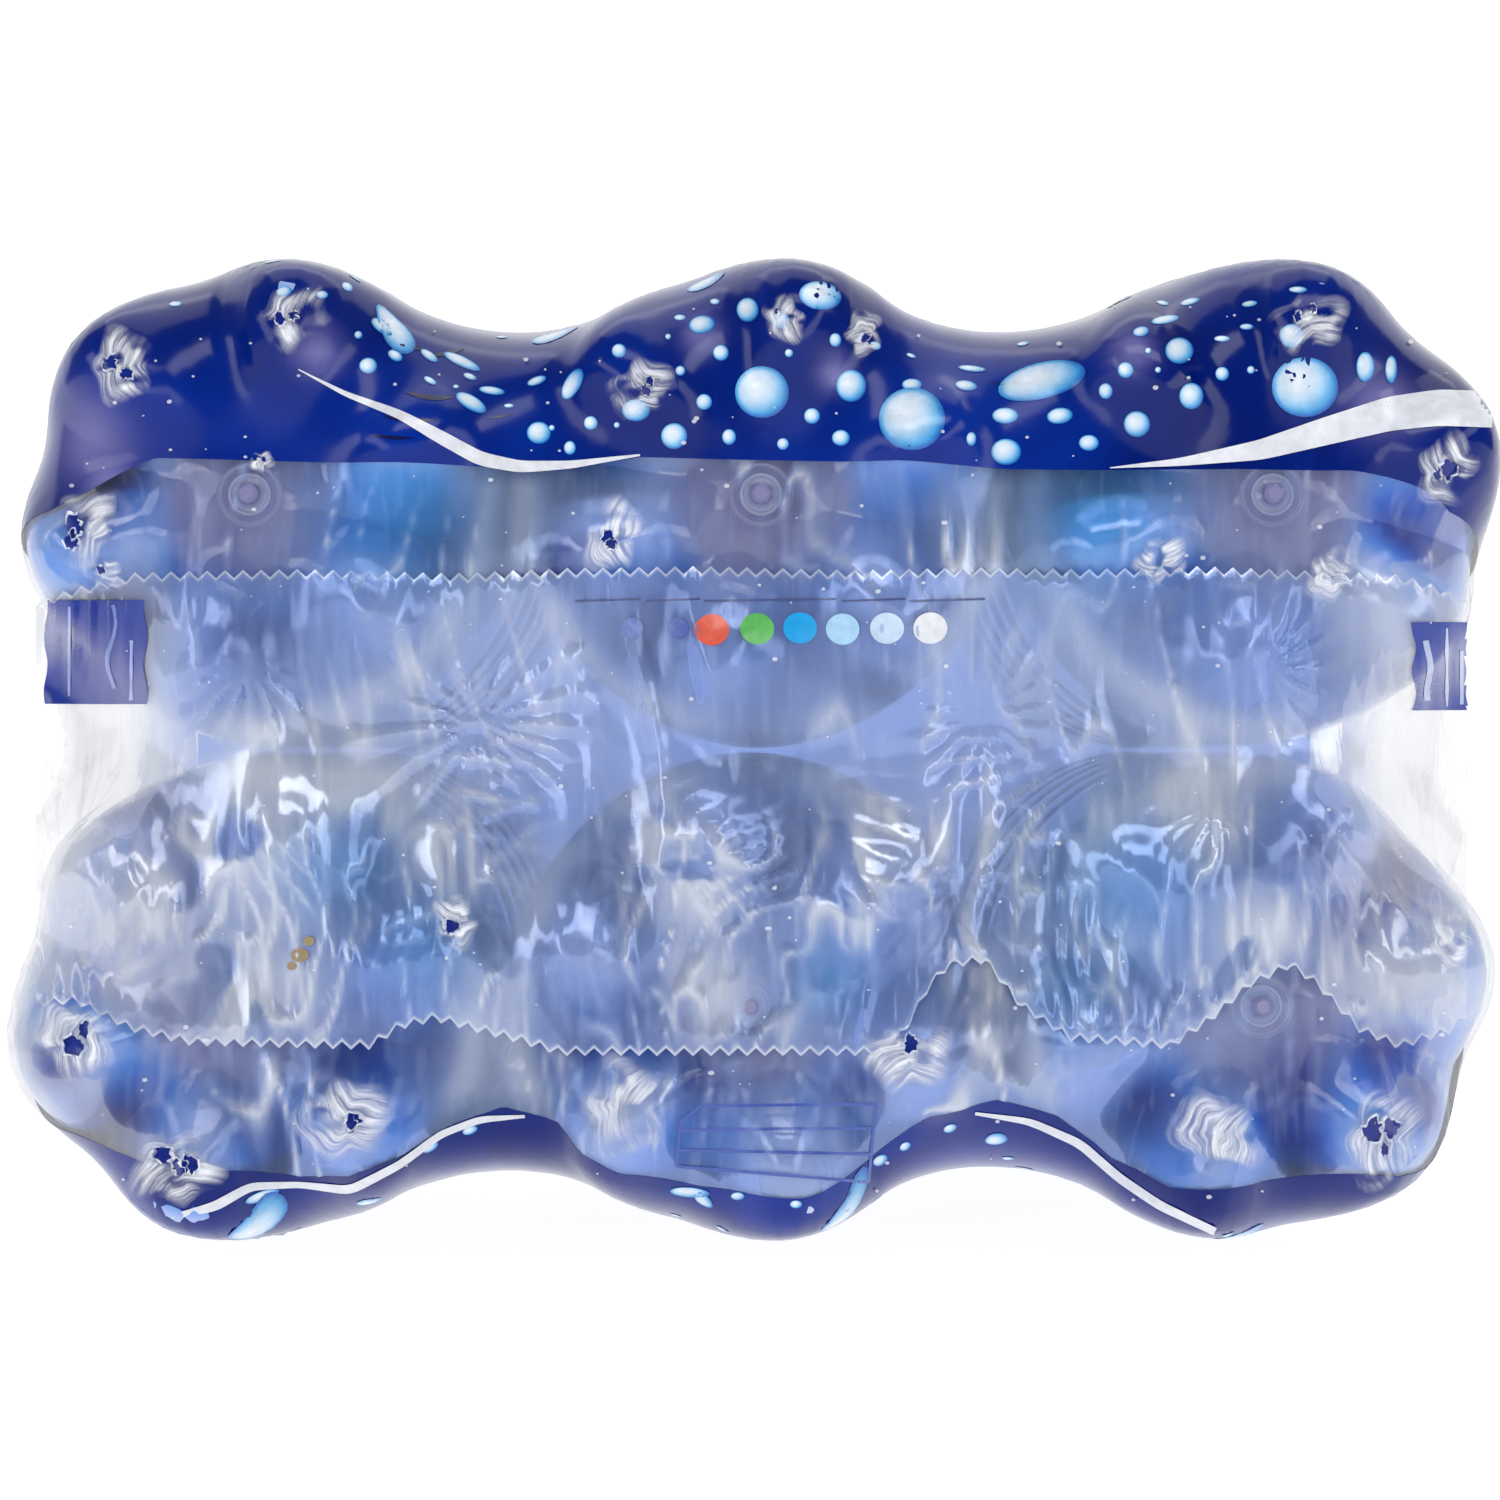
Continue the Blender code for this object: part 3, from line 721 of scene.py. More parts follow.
def push_out(points, clearance):
    """Moves every point that is nearer than clearance to a bottle straight out of it."""
    row = (points[:, 2] > MIDDLE).astype(int)
    along = points[:, 0] - np.array(ROW_SHIFTS)[row]
    column = np.clip(np.round(along / PITCH), -1, 1)
    across = along - column * PITCH
    up = points[:, 2] - MIDDLE - (row - 0.5) * PITCH
    radius = np.maximum(np.hypot(across, up), 1e-6)
    turn = np.radians(np.array(FOOT_TURNS, float))[row, column.astype(int) + 1]
    height = points[:, 1] - FEET_Y
    step = 0.0004

    def under(x, z):
        return base_height(np.hypot(x, z), np.arctan2(z, x) - turn)

    slope_x = (under(across + step, up) - under(across - step, up)) / (2 * step)
    slope_z = (under(across, up + step) - under(across, up - step)) / (2 * step)
    top_slope = (top_height(radius + step) - top_height(radius - step)) / (2 * step)
    side = np.stack((across / radius, up / radius), axis=1)
    ways = np.stack(
        (
            np.column_stack((side[:, 0], np.zeros_like(radius), side[:, 1])),
            np.column_stack((slope_x, -np.ones_like(radius), slope_z)),
            np.column_stack((-top_slope * side[:, 0], np.ones_like(radius), -top_slope * side[:, 1])),
        )
    )
    lengths = np.linalg.norm(ways, axis=2)
    gaps = np.stack((RADIUS - radius, height - under(across, up), top_height(radius) - height))
    depths = gaps / lengths
    nearest = depths.argmin(axis=0)
    index = np.arange(len(points))
    depth = depths[nearest, index] + clearance
    way = ways[nearest, index] / lengths[nearest, index][:, None]
    return points + way * np.maximum(depth, 0)[:, None]


def sleeve_start(clearance):
    """The film before it shrinks: points in columns along X and round the loop, and their flat (u, v)."""
    reach = RADIUS + clearance
    low, high = MIDDLE - PITCH / 2 - reach, MIDDLE + PITCH / 2 + reach
    near, far = FEET_Y - clearance, FEET_Y + CAP_COVER[0][1] + clearance
    corners = ((near, low), (near, high), (far, high), (far, low), (near, low))
    back = 1 - np.append(SIDE_SHARES, 1.0)[:0:-1]
    shares = (np.arange(26) / 26, SIDE_SHARES, np.arange(15) / 15, back)
    loop, flat = [], []
    walked = 0.0
    for (y0, z0), (y1, z1), along in zip(corners, corners[1:], shares):
        length = math.hypot(y1 - y0, z1 - z0)
        loop += [(y0 + share * (y1 - y0), z0 + share * (z1 - z0)) for share in along]
        flat += [walked + share * length for share in along]
        walked += length
    loop, flat = np.array(loop), np.array(flat)
    strip = 0.005
    turns = np.linspace(math.asin(strip / reach), math.pi / 2, 8)
    corner = [(PITCH + reach * math.sin(turn), PITCH / 2 + reach * math.cos(turn)) for turn in turns]
    between = np.linspace(strip, PITCH - strip, 11)
    spread = (loop[:, 1] - MIDDLE) / (PITCH / 2 + reach)
    turn = np.arctan2(spread / np.ptp(spread), (loop[:, 0] - loop[:, 0].mean()) / np.ptp(loop[:, 0]))
    end = np.column_stack((np.full(len(loop), corner[-1][0]), loop[:, 0], MIDDLE + corner[-1][1] * spread))
    rim = np.column_stack(
        (
            end[:, 0] + clearance / 2,
            OPENING_Y + OPENING[0] * np.cos(turn),
            MIDDLE + OPENING[1] * np.sin(turn),
        )
    )
    half = [
        np.column_stack((np.full(len(loop), x), loop[:, 0], MIDDLE + h * spread)) for x, h in corner
    ]
    half += [end + step / 3 * (rim - end) for step in (1, 2, 3)]
    arc = [PITCH + reach * turn for turn in turns]
    arc += [PITCH + reach * math.pi / 2 + 0.015 * k for k in (1, 2, 3)]
    across = np.concatenate((between - PITCH, between))
    middle = [np.column_stack((np.full(len(loop), x), loop)) for x in across]
    grid = np.array([column * (-1, 1, 1) for column in half[::-1]] + middle + half)
    u = np.array([-x for x in arc[::-1]] + list(between - PITCH) + list(between) + arc)
    return grid, u, flat, walked


def finer(values, closed):
    """Twice as many steps along the first axis, halfway between the old ones."""
    after = np.roll(values, -1, axis=0) if closed else values[1:]
    middle = (values[: len(after)] + after) / 2
    out = np.empty((len(values) + len(middle),) + values.shape[1:])
    out[0::2], out[1::2] = values, middle
    return out


def grid_normals(grid):
    along = np.gradient(grid, axis=0)
    round_loop = np.roll(grid, -1, axis=1) - np.roll(grid, 1, axis=1)
    normal = np.cross(along, round_loop)
    normal /= np.maximum(np.linalg.norm(normal, axis=2, keepdims=True), 1e-12)
    inward = ((grid - grid.mean(axis=(0, 1))) * normal).sum() < 0
    return -normal if inward else normal


def shrink(grid, steps, clearance, hollow):
    """Lets the film pull tight over the bottles and sink between them."""
    along = np.linalg.norm(np.diff(grid, axis=0), axis=2).mean(axis=1)
    round_loop = np.linalg.norm(np.roll(grid, -1, axis=1) - grid, axis=2)[len(grid) // 2]
    column_width = (np.append(along, along[-1]) + np.append(along[0], along)) / 2
    point_width = (round_loop + np.roll(round_loop, 1)) / 2
    pull_along = point_width[None, :] / along[:, None]
    pull_round = column_width[:, None] / round_loop[None, :]
    start = grid.copy()
    held = np.abs(start[:, :, 0]) < PITCH + 0.01
    fade = np.clip((SHOULDER[0][1] - (grid[:, :, 1] - FEET_Y)) / SHOULDER[0][1], 0, 1)
    pressure = fade * column_width[:, None] * point_width[None, :] / hollow
    for _ in range(steps):
        force = np.zeros_like(grid)
        weight = np.zeros(grid.shape[:2])
        step = np.diff(grid, axis=0) * pull_along[:, :, None]
        force[:-1] += step
        force[1:] -= step
        weight[:-1] += pull_along
        weight[1:] += pull_along
        step = (np.roll(grid, -1, axis=1) - grid) * pull_round[:, :, None]
        force += step - np.roll(step, 1, axis=1)
        weight += pull_round + np.roll(pull_round, 1, axis=1)
        force -= grid_normals(grid) * pressure[:, :, None]
        moved = grid + 0.8 * force / weight[:, :, None]
        moved[:, :, 0][held] = start[:, :, 0][held]
        moved[0], moved[-1] = start[0], start[-1]
        grid = push_out(moved.reshape(-1, 3), clearance).reshape(grid.shape)
    return grid


def smooth_noise(u, v, cell_u, cell_v, seed):
    """Smooth random heights from 0 to 1 on a lattice of the given cells, in metres."""
    random = np.random.default_rng(seed)
    a, b = (u - u.min()) / cell_u, (v - v.min()) / cell_v
    lattice = random.random((int(a.max()) + 2, int(b.max()) + 2))
    i, j = a.astype(int), b.astype(int)
    s, t = a - i, b - j
    s, t = s * s * (3 - 2 * s), t * t * (3 - 2 * t)
    low = lattice[i, j] * (1 - s) + lattice[i + 1, j] * s
    high = lattice[i, j + 1] * (1 - s) + lattice[i + 1, j + 1] * s
    return low * (1 - t) + high * t


class Film:
    """The shrunk film's surface, kept so that the print, the overlap and the wear can lie on it."""

    grid = None
    haze = None
    v = None
    u = None
    rows = (0, 0)
    round_length = 0.0
    trees = []

    @classmethod
    def hit(cls, start, way):
        """Where a ray first meets the film, and the film's normal there, turned towards the ray's start."""
        found = [tree.ray_cast(Vector(start), Vector(way).normalized()) for tree in cls.trees]
        found = [hit for hit in found if hit[0] is not None]
        if not found:
            return None, None
        place, normal, _, _ = min(found, key=lambda hit: hit[3])
        return np.array(place), np.array(normal) * (-1 if normal.dot(Vector(way)) > 0 else 1)


def from_photo(px, py):
    """The film's point and normal at a pixel of the photograph."""
    return Film.hit(EYE, ((px - PHOTO_MIDDLE) * VIEW_SLOPE, 1.0, (PHOTO_MIDDLE - py) * VIEW_SLOPE))


def from_above(x, y):
    return Film.hit((x, y, 0.5), (0, 0, -1))


def from_below(x, y):
    return Film.hit((x, y, -0.5), (0, 0, 1))


def photo_line(points, px):
    return np.interp(px, [p[0] for p in points], [p[1] for p in points])


def photo_x(px):
    return EYE[0] + (px - PHOTO_MIDDLE) * VIEW_SLOPE * FILM_DISTANCE


def photo_z(py):
    return EYE[2] + (PHOTO_MIDDLE - py) * VIEW_SLOPE * FILM_DISTANCE


def move_rows(grid, v, row, wanted, reach):
    """Slides a row of the base's film up or down to the height wanted along it, with its neighbours."""
    rows = np.arange(grid.shape[1], dtype=float)
    out, out_v = grid.copy(), v.copy()
    for i in range(len(grid)):
        span = slice(max(row - 30, 1), min(row + 30, HEEL_ROWS + BASE_ROWS - 6))
        heights = np.maximum.accumulate(grid[i, span, 2])
        target = np.interp(wanted[i], heights + 1e-9 * np.arange(len(heights)), rows[span])
        target = row + reach[i] * (target - row)
        low, high = max(row - 34, 0), min(row + 34, HEEL_ROWS + BASE_ROWS - 2)
        places = np.interp(rows[low : high + 1], (low, row, high), (low, target, high))
        for k in range(3):
            out[i, low : high + 1, k] = np.interp(places, rows, grid[i, :, k])
        out_v[i, low : high + 1] = np.interp(places, rows, v[i])
    return out, out_v


def folds(across, along, seed):
    """Heights of long soft folds and thin creases, each from 0 to about 1."""
    bend = smooth_noise(across, along, 0.050, 0.045, seed) - 0.5
    bent = across + 0.011 * bend
    soft = smooth_noise(bent, along, 0.0098, 0.070, seed + 1)
    soft = np.clip(1 - 2.6 * np.abs(soft - 0.5), 0, 1) ** 1.3
    soft *= np.clip(2.0 * smooth_noise(across, along, 0.022, 0.030, seed + 5) - 0.3, 0.12, 1)
    thin = smooth_noise(bent + 0.5, along, 0.0050, 0.038, seed + 2)
    thin = np.clip(1 - 7 * np.abs(thin - 0.5), 0, 1) ** 1.5
    patches = smooth_noise(across, along, 0.030, 0.030, seed + 3)
    thin *= np.clip(2.2 * patches - 0.7, 0, 1)
    return soft, thin


def pinch_rays(x, z, seed):
    """Creases that run out from the places where the film is pinched."""
    random = np.random.default_rng(seed)
    total = np.zeros_like(x)
    for px, py, reach in PINCHES:
        dx, dz = x - photo_x(px), z - photo_z(py)
        radius, angle = np.hypot(dx, dz), np.arctan2(dz, dx)
        count, turn = random.integers(11, 17), random.random() * 6
        drift = smooth_noise(x, z, 0.016, 0.016, seed + 50 + count) - 0.5
        wave = 0.5 + 0.5 * np.cos(count * angle + turn + 2.4 * np.sin(angle + turn) + 5.0 * drift)
        wave = wave * np.clip(2.4 * smooth_noise(x, z, 0.012, 0.012, seed + 90 + count) - 0.5, 0.1, 1)
        size = reach / PIXELS_PER_METRE
        fade = np.exp(-((radius / (1.1 * size)) ** 2))
        total = total + wave**2 * np.clip(radius / (0.25 * size), 0, 1) * fade
    return total


def fan_creases(x, z):
    """Sharp creases that fan out from where the film is caught between the feet."""
    total = np.zeros_like(x)
    for number, (px, py, reach, count) in enumerate(FANS):
        dx, dz = x - photo_x(px), z - photo_z(py)
        radius, angle = np.hypot(dx, dz) * PIXELS_PER_METRE / reach, np.arctan2(dz, dx) / (2 * math.pi)
        drift = smooth_noise(x, z, 0.022, 0.022, 40 + number) - 0.5
        strength = smooth_noise(x, z, 0.013, 0.017, 60 + number)
        ridge = np.clip(1 - 4.0 * np.abs((count * angle + 3.4 * drift) % 1.0 - 0.5), 0, 1)
        ridge *= np.clip(2.6 * strength - 0.9, 0, 1) * np.clip(3 * (radius - 0.25), 0, 1)
        downward = np.clip(0.3 - 2 * dz / np.maximum(np.hypot(dx, dz), 1e-6), 0, 1)
        ridge *= np.clip(3 * (1.1 - radius), 0, 1) * downward
        total = np.maximum(total, ridge)
    return total


def crumples(x, z, seed):
    """Fine creases that run every way over the lower bottles, and the patches where the film lies tight."""
    low = np.clip((photo_z(CRUMPLES_PY) - z) / 0.010, 0, 1)
    warp_x = 0.006 * (smooth_noise(x, z, 0.010, 0.012, seed) - 0.5)
    warp_z = 0.008 * (smooth_noise(x, z, 0.011, 0.009, seed + 1) - 0.5)
    total = np.zeros_like(x)
    sizes = ((0.0056, 0.0240, 8, 0.7), (0.0034, 0.0090, 6, 1.0))
    for number, (cell_x, cell_z, sharp, least) in enumerate(sizes):
        heights = smooth_noise(x + warp_x, z + warp_z, cell_x, cell_z, seed + 2 + number)
        patches = smooth_noise(x, z, 0.012, 0.012, seed + 4 + number)
        ridge = np.clip(1 - sharp * np.abs(heights - 0.5), 0, 1) * np.clip(3.0 * patches - least, 0, 1)
        total = np.maximum(total, ridge)
    tight = smooth_noise(x + 1.5 * warp_x, z + 1.5 * warp_z, 0.0060, 0.0085, seed + 7)
    return total * low, np.clip((tight - 0.66) * 9, 0, 1) * low


def gap_share_and_rim_light(x, z):
    """0 over a bottle's base and 1 between the bottles, with a painted light ring over each bottle's shaded
    rim.
    """
    row = (z > MIDDLE).astype(int)
    along = x - np.array(ROW_SHIFTS)[row]
    column = np.clip(np.round(along / PITCH), -1, 1)
    radius = np.hypot(along - column * PITCH, z - MIDDLE - (row - 0.5) * PITCH)
    inside = np.clip((PITCH + 0.014 - np.abs(x)) / 0.012, 0, 1)
    # Painted light: a whiter ring of film that hides the shade at each bottle's rim.
    rim = 0.75 * np.exp(-(((radius - 0.0405) / 0.0030) ** 2))
    return (np.clip((radius - 0.028) / 0.014, 0, 1) + rim) * inside


def make_film_surface(settings):
    """Shrinks the film in three passes, each twice as fine as the last, and adds its wrinkles."""
    clearance = settings.film_clearance
    grid, u, v, length = sleeve_start(clearance)
    grid = shrink(grid, SHRINK_STEPS[0], clearance, settings.film_hollow)
    for steps in SHRINK_STEPS[1:]:
        grid = finer(grid, False)
        grid = np.swapaxes(finer(np.swapaxes(grid, 0, 1), True), 0, 1)
        u = finer(u, False)
        v = finer(np.append(v, length), False)[:-1]
        grid = shrink(grid, steps, clearance, settings.film_hollow)
    grid, u = finer(grid, False), finer(u, False)
    v = np.append(v[-HEEL_ROWS:] - length, v[:-HEEL_ROWS])
    grid = np.roll(grid, HEEL_ROWS, axis=1)
    v = np.tile(v, (len(u), 1))
    across = grid[:, HEEL_ROWS + BASE_ROWS // 2, 0]
    pixels = PHOTO_MIDDLE + (across - EYE[0]) / VIEW_SLOPE / FILM_DISTANCE
    held = np.clip((PITCH + 0.036 - np.abs(u)) / 0.02, 0, 1)
    upper = int(np.abs(grid[len(u) // 2, : HEEL_ROWS + BASE_ROWS, 2] - photo_z(UPPER_PY)).argmin())
    lower = int(np.abs(grid[len(u) // 2, : HEEL_ROWS + BASE_ROWS, 2] - photo_z(LOWER_PY)).argmin())
    grid, v = move_rows(grid, v, upper, photo_z(photo_line(PRINT_EDGE, pixels)), held)
    grid, v = move_rows(grid, v, lower, photo_z(photo_line(LOWER_PRINT_EDGE, pixels)), held)
    normals = grid_normals(grid)
    flat_u = np.tile(u[:, None], (1, v.shape[1]))
    soft, thin = folds(flat_u, v, 3)
    x, y, z = grid[:, :, 0], grid[:, :, 1], grid[:, :, 2]
    base = np.clip((0.030 - (y - FEET_Y)) / 0.02, 0, 1)
    clear = np.clip((z - photo_z(CLEAR_END_PY)) / 0.01, 0, 1)
    clear = clear * np.clip((photo_z(UPPER_PY) - z) / 0.004, 0, 1)
    share = 0.18 + 0.82 * base * clear
    rays = pinch_rays(x, z, 8) * base
    fans = fan_creases(x, z) * base * clear
    fine = crumples(x, z, 70)[0] * base * clear
    height = share * (0.8 * soft + 0.5 * thin) + 0.6 * rays + 0.3 * fans + 0.25 * fine
    height = settings.wrinkle_height * height
    grid = grid + normals * height[:, :, None]
    low = grid[:, :, 2] < FLAT_BELOW
    grid[:, :, 2][low] = FLOOR_GAP
    Film.grid, Film.u, Film.v, Film.rows, Film.round_length = grid, u, v, (lower, upper), length
    # The film is kept clearer over the painted dark refraction and azure light patches.
    tight = 1 - 0.8 * np.maximum(patches_at(x, z, PAINTED_DARK_REFRACTION_PATCHES), 0.8 * patches_at(x, z, PAINTED_AZURE_LIGHT_PATCHES))
    veil = 0.30 * gap_share_and_rim_light(x, z) + 0.16 * patches_at(x, z, WHITE_PATCHES)
    # The creases' whitening is partly stress-whitened film and partly painted glints along the crests.
    creases = 0.10 * soft + 0.8 * thin**2 + 0.25 * rays + 0.25 * fans**2 + 0.25 * fine**2
    Film.haze = np.clip(creases + veil * tight * base * clear, 0, 1)
    points = grid.reshape(-1, 3)
    faces = sheet_faces(grid.shape[0], grid.shape[1], True)
    Film.trees = [BVHTree.FromPolygons([Vector(p) for p in points], faces)]


def sheet_faces(columns, rows, closed):
    """Quads of a grid whose points run down each column in turn."""
    faces = []
    for i in range(columns - 1):
        for j in range(rows if closed else rows - 1):
            after = (j + 1) % rows
            faces.append((i * rows + j, i * rows + after, (i + 1) * rows + after, (i + 1) * rows + j))
    return faces


def set_uv(obj, u, v):
    layer = obj.data.uv_layers.new(name="flat")
    index = np.empty(len(obj.data.loops), int)
    obj.data.loops.foreach_get("vertex_index", index)
    layer.data.foreach_set("uv", np.column_stack((u[index], v[index])).ravel())


def set_value(obj, name, values):
    obj.data.attributes.new(name, "FLOAT", "POINT").data.foreach_set("value", np.asarray(values, float))


def set_colour(obj, name, values):
    made = obj.data.attributes.new(name, "FLOAT_COLOR", "POINT")
    made.data.foreach_set("color", np.asarray(values, float).ravel())


def thicken(obj, depth):
    """Gives a skin its thickness inwards."""
    select_only(obj)
    wall = obj.modifiers.new("thickness", "SOLIDIFY")
    wall.thickness = depth
    wall.offset = -1
    bpy.ops.object.modifier_apply(modifier=wall.name)


def film_part(name, rows, material, settings):
    """One run of the film's rows as a piece of its own."""
    grid = Film.grid[:, rows]
    obj = object_from(name, grid.reshape(-1, 3), sheet_faces(grid.shape[0], grid.shape[1], False))
    v = Film.v[:, rows].copy()
    v[:, np.array(rows) < rows[0]] += Film.round_length
    set_uv(obj, np.repeat(Film.u, len(rows)), v.ravel())
    set_value(obj, "haze", Film.haze[:, rows].ravel())
    front = np.clip((0.05 - (grid[:, :, 1] - FEET_Y)) / 0.02, 0, 1)
    # Painted light on the film: azure refracted light, and the pale violet painted sheen on the print's
    # front.
    set_value(obj, "painted_azure_light", patches_at(grid[:, :, 0], grid[:, :, 2], PAINTED_AZURE_LIGHT_PATCHES).ravel())
    set_value(obj, "pale", (patches_at(grid[:, :, 0], grid[:, :, 2], PAINTED_SHEEN_PATCHES) * front).ravel())
    face_outwards(obj)
    thicken(obj, settings.film_thickness)
    return finish_piece(obj, name, material, "film", "film", smooth=60)


def face_outwards(obj):
    """Turns a sheet's faces away from the middle of the pack."""
    centre = np.array((0.0, 0.0, MIDDLE))
    faces = list(obj.data.polygons)
    total = sum(np.dot(np.array(face.normal), np.array(face.center) - centre) for face in faces[::50])
    if total < 0:
        obj.data.flip_normals()


def printed_film_material():
    """Low-density polyethylene film printed in royal blue: opaque ink under a glossy skin, with a painted
    violet sheen in a few patches.
    """
    material = new_material("LDPE film, printed blue")
    place = add_node(material, "TexCoord")
    tone = add_node(
        material, "TexNoise",
        {"Vector": place.outputs["Object"], "Scale": 22.0, "Detail": 3.0, "Roughness": 0.55},
    )
    blue = add_node(
        material, "ValToRGB",
        {"Fac": tone.outputs["Fac"]}, stops=((0.30, "#001462"), (0.52, "#001F78"), (0.70, "#002C94")),
    )
    haze = add_node(material, "Attribute", attribute_name="haze")
    worn_and_painted_sheen = add_node(
        material, "Mix",
        {0: haze.outputs["Fac"], 6: blue.outputs["Color"], 7: srgb("#062482")}, data_type="RGBA",
    )
    # Painted sheen: pale violet where the print catches the light.
    pale = add_node(material, "Attribute", attribute_name="pale")
    faint = add_node(material, "Math", {0: pale.outputs["Fac"], 1: 0.45}, operation="MULTIPLY")
    worn_and_painted_sheen = add_node(
        material, "Mix",
        {0: faint.outputs["Value"], 6: worn_and_painted_sheen.outputs[2], 7: srgb("#A49ED8")}, data_type="RGBA",
    )
    fine = add_node(
        material, "TexNoise",
        {"Vector": place.outputs["Object"], "Scale": 140.0, "Detail": 3.0, "Roughness": 0.6},
    )
    bump = add_node(
        material, "Bump", {"Strength": 0.10, "Distance": 0.0006, "Height": fine.outputs["Fac"]}
    )
    gloss = add_node(
        material, "MapRange",
        {
            "Value": tone.outputs["Fac"], "From Min": 0.3, "From Max": 0.7, "To Min": 0.12,
            "To Max": 0.20,
        },
    )
    surface = add_node(
        material, "BsdfPrincipled",
        {
            "Base Color": worn_and_painted_sheen.outputs[2], "Roughness": gloss.outputs["Result"], "IOR": 1.51,
            "Specular IOR Level": 0.22, "Normal": bump.outputs["Normal"],
        },
    )
    return show(material, surface)


def tinted_film_material():
    """The same film over the caps, printed with a thin blue tint that lets the light through."""
    material = new_material("LDPE film, tinted")
    place = add_node(material, "TexCoord")
    drift = add_node(
        material, "TexNoise", {"Vector": place.outputs["Object"], "Scale": 30.0, "Detail": 2.0}
    )
    colour = add_node(
        material, "ValToRGB", {"Fac": drift.outputs["Fac"]}, stops=((0.3, "#0E3399"), (0.7, "#1C48B4"))
    )
    fine = add_node(
        material, "TexNoise", {"Vector": place.outputs["Object"], "Scale": 140.0, "Detail": 3.0}
    )
    bump = add_node(
        material, "Bump", {"Strength": 0.15, "Distance": 0.0006, "Height": fine.outputs["Fac"]}
    )
    surface = add_node(
        material, "BsdfPrincipled",
        {
            "Base Color": colour.outputs["Color"], "Roughness": 0.22, "IOR": 1.51,
            "Normal": bump.outputs["Normal"],
        },
    )
    return show_through(material, surface, 0.18, "#BCCDF8")


def clear_film_material(name, least_cover, white):
    """Unprinted low-density polyethylene film: clear, glossy, whiter along its creases, partly as haze and
    partly as painted glints, and seen edge-on; bluer under the painted azure light.
    """
    material = new_material(name)
    place = add_node(material, "TexCoord")
    axes = add_node(material, "SeparateXYZ", {"Vector": place.outputs["Object"]})
    side = add_node(material, "Math", {0: axes.outputs["X"]}, operation="ABSOLUTE")
    end = add_node(
        material, "MapRange", {"Value": side.outputs["Value"], "From Min": 0.092, "From Max": 0.112}
    )
    flat = add_node(material, "UVMap", uv_map="flat")
    stretched = add_node(
        material, "Mapping", {"Vector": flat.outputs["UV"], "Scale": (420.0, 60.0, 1.0)}
    )
    creases = add_node(
        material, "TexNoise",
        {"Vector": stretched.outputs["Vector"], "Scale": 1.0, "Detail": 3.0, "Distortion": 0.6},
    )
    bump = add_node(
        material, "Bump", {"Strength": 0.22, "Distance": 0.0004, "Height": creases.outputs["Fac"]}
    )
    haze = add_node(material, "Attribute", attribute_name="haze")
    streaks = add_node(
        material, "MapRange",
        {
            "Value": creases.outputs["Fac"], "From Min": 0.5, "From Max": 0.8, "To Min": least_cover,
            "To Max": least_cover + 0.10,
        },
    )
    edge = add_node(material, "LayerWeight", {"Blend": 0.30, "Normal": bump.outputs["Normal"]})
    veil = add_node(
        material, "Math",
        {0: edge.outputs["Fresnel"], 1: 0.55, 2: streaks.outputs["Result"]}, operation="MULTIPLY_ADD",
    )
    cover = add_node(
        material, "Math",
        {0: haze.outputs["Fac"], 1: 0.60, 2: veil.outputs["Value"]}, operation="MULTIPLY_ADD",
        use_clamp=True,
    )
    thinned = add_node(
        material, "MapRange", {"Value": end.outputs["Result"], "To Min": 1.0, "To Max": 0.45}
    )
    cover = add_node(
        material, "Math",
        {0: cover.outputs["Value"], 1: thinned.outputs["Result"]}, operation="MULTIPLY",
    )
    milky = add_node(
        material, "MapRange", {"Value": haze.outputs["Fac"], "From Min": 0.25, "From Max": 0.70}
    )
    # Bluer where the painted azure light lies.
    painted_azure_light = add_node(material, "Attribute", attribute_name="painted_azure_light")
    bluer = add_node(material, "Math", {0: painted_azure_light.outputs["Fac"], 1: 0.75}, operation="MULTIPLY")
    colour = srgb(white)
    for share, over in ((milky, "#E6EEFF"), (bluer, "#8CC2FF"), (end, "#F3F4F8")):
        mixed = add_node(
            material, "Mix", {0: share.outputs[0], 6: colour, 7: srgb(over)}, data_type="RGBA"
        )
        colour = mixed.outputs[2]
    surface = add_node(
        material, "BsdfPrincipled",
        {
            "Base Color": colour, "Metallic": 0.20, "Roughness": 0.15, "IOR": 1.51,
            "Normal": bump.outputs["Normal"],
        },
    )
    return show_through(material, surface, cover.outputs["Value"])


def ink_material():
    """Flexographic ink on film: even, slightly mottled colour under the film's gloss."""
    material = new_material("flexographic ink")
    place = add_node(material, "TexCoord")
    ink = add_node(material, "Attribute", attribute_name="ink")
    mottle = add_node(
        material, "TexNoise", {"Vector": place.outputs["Object"], "Scale": 500.0, "Detail": 3.0}
    )
    shade = add_node(
        material, "MapRange",
        {
            "Value": mottle.outputs["Fac"], "From Min": 0.3, "From Max": 0.7, "To Min": 0.88,
            "To Max": 1.06,
        },
    )
    toned = add_node(
        material, "VectorMath",
        {0: ink.outputs["Color"], "Scale": shade.outputs["Result"]}, operation="SCALE",
    )
    bump = add_node(
        material, "Bump", {"Strength": 0.1, "Distance": 0.0002, "Height": mottle.outputs["Fac"]}
    )
    surface = add_node(
        material, "BsdfPrincipled",
        {
            "Base Color": toned.outputs["Vector"], "Roughness": 0.24, "IOR": 1.51,
            "Normal": bump.outputs["Normal"],
        },
    )
    return show(material, surface)


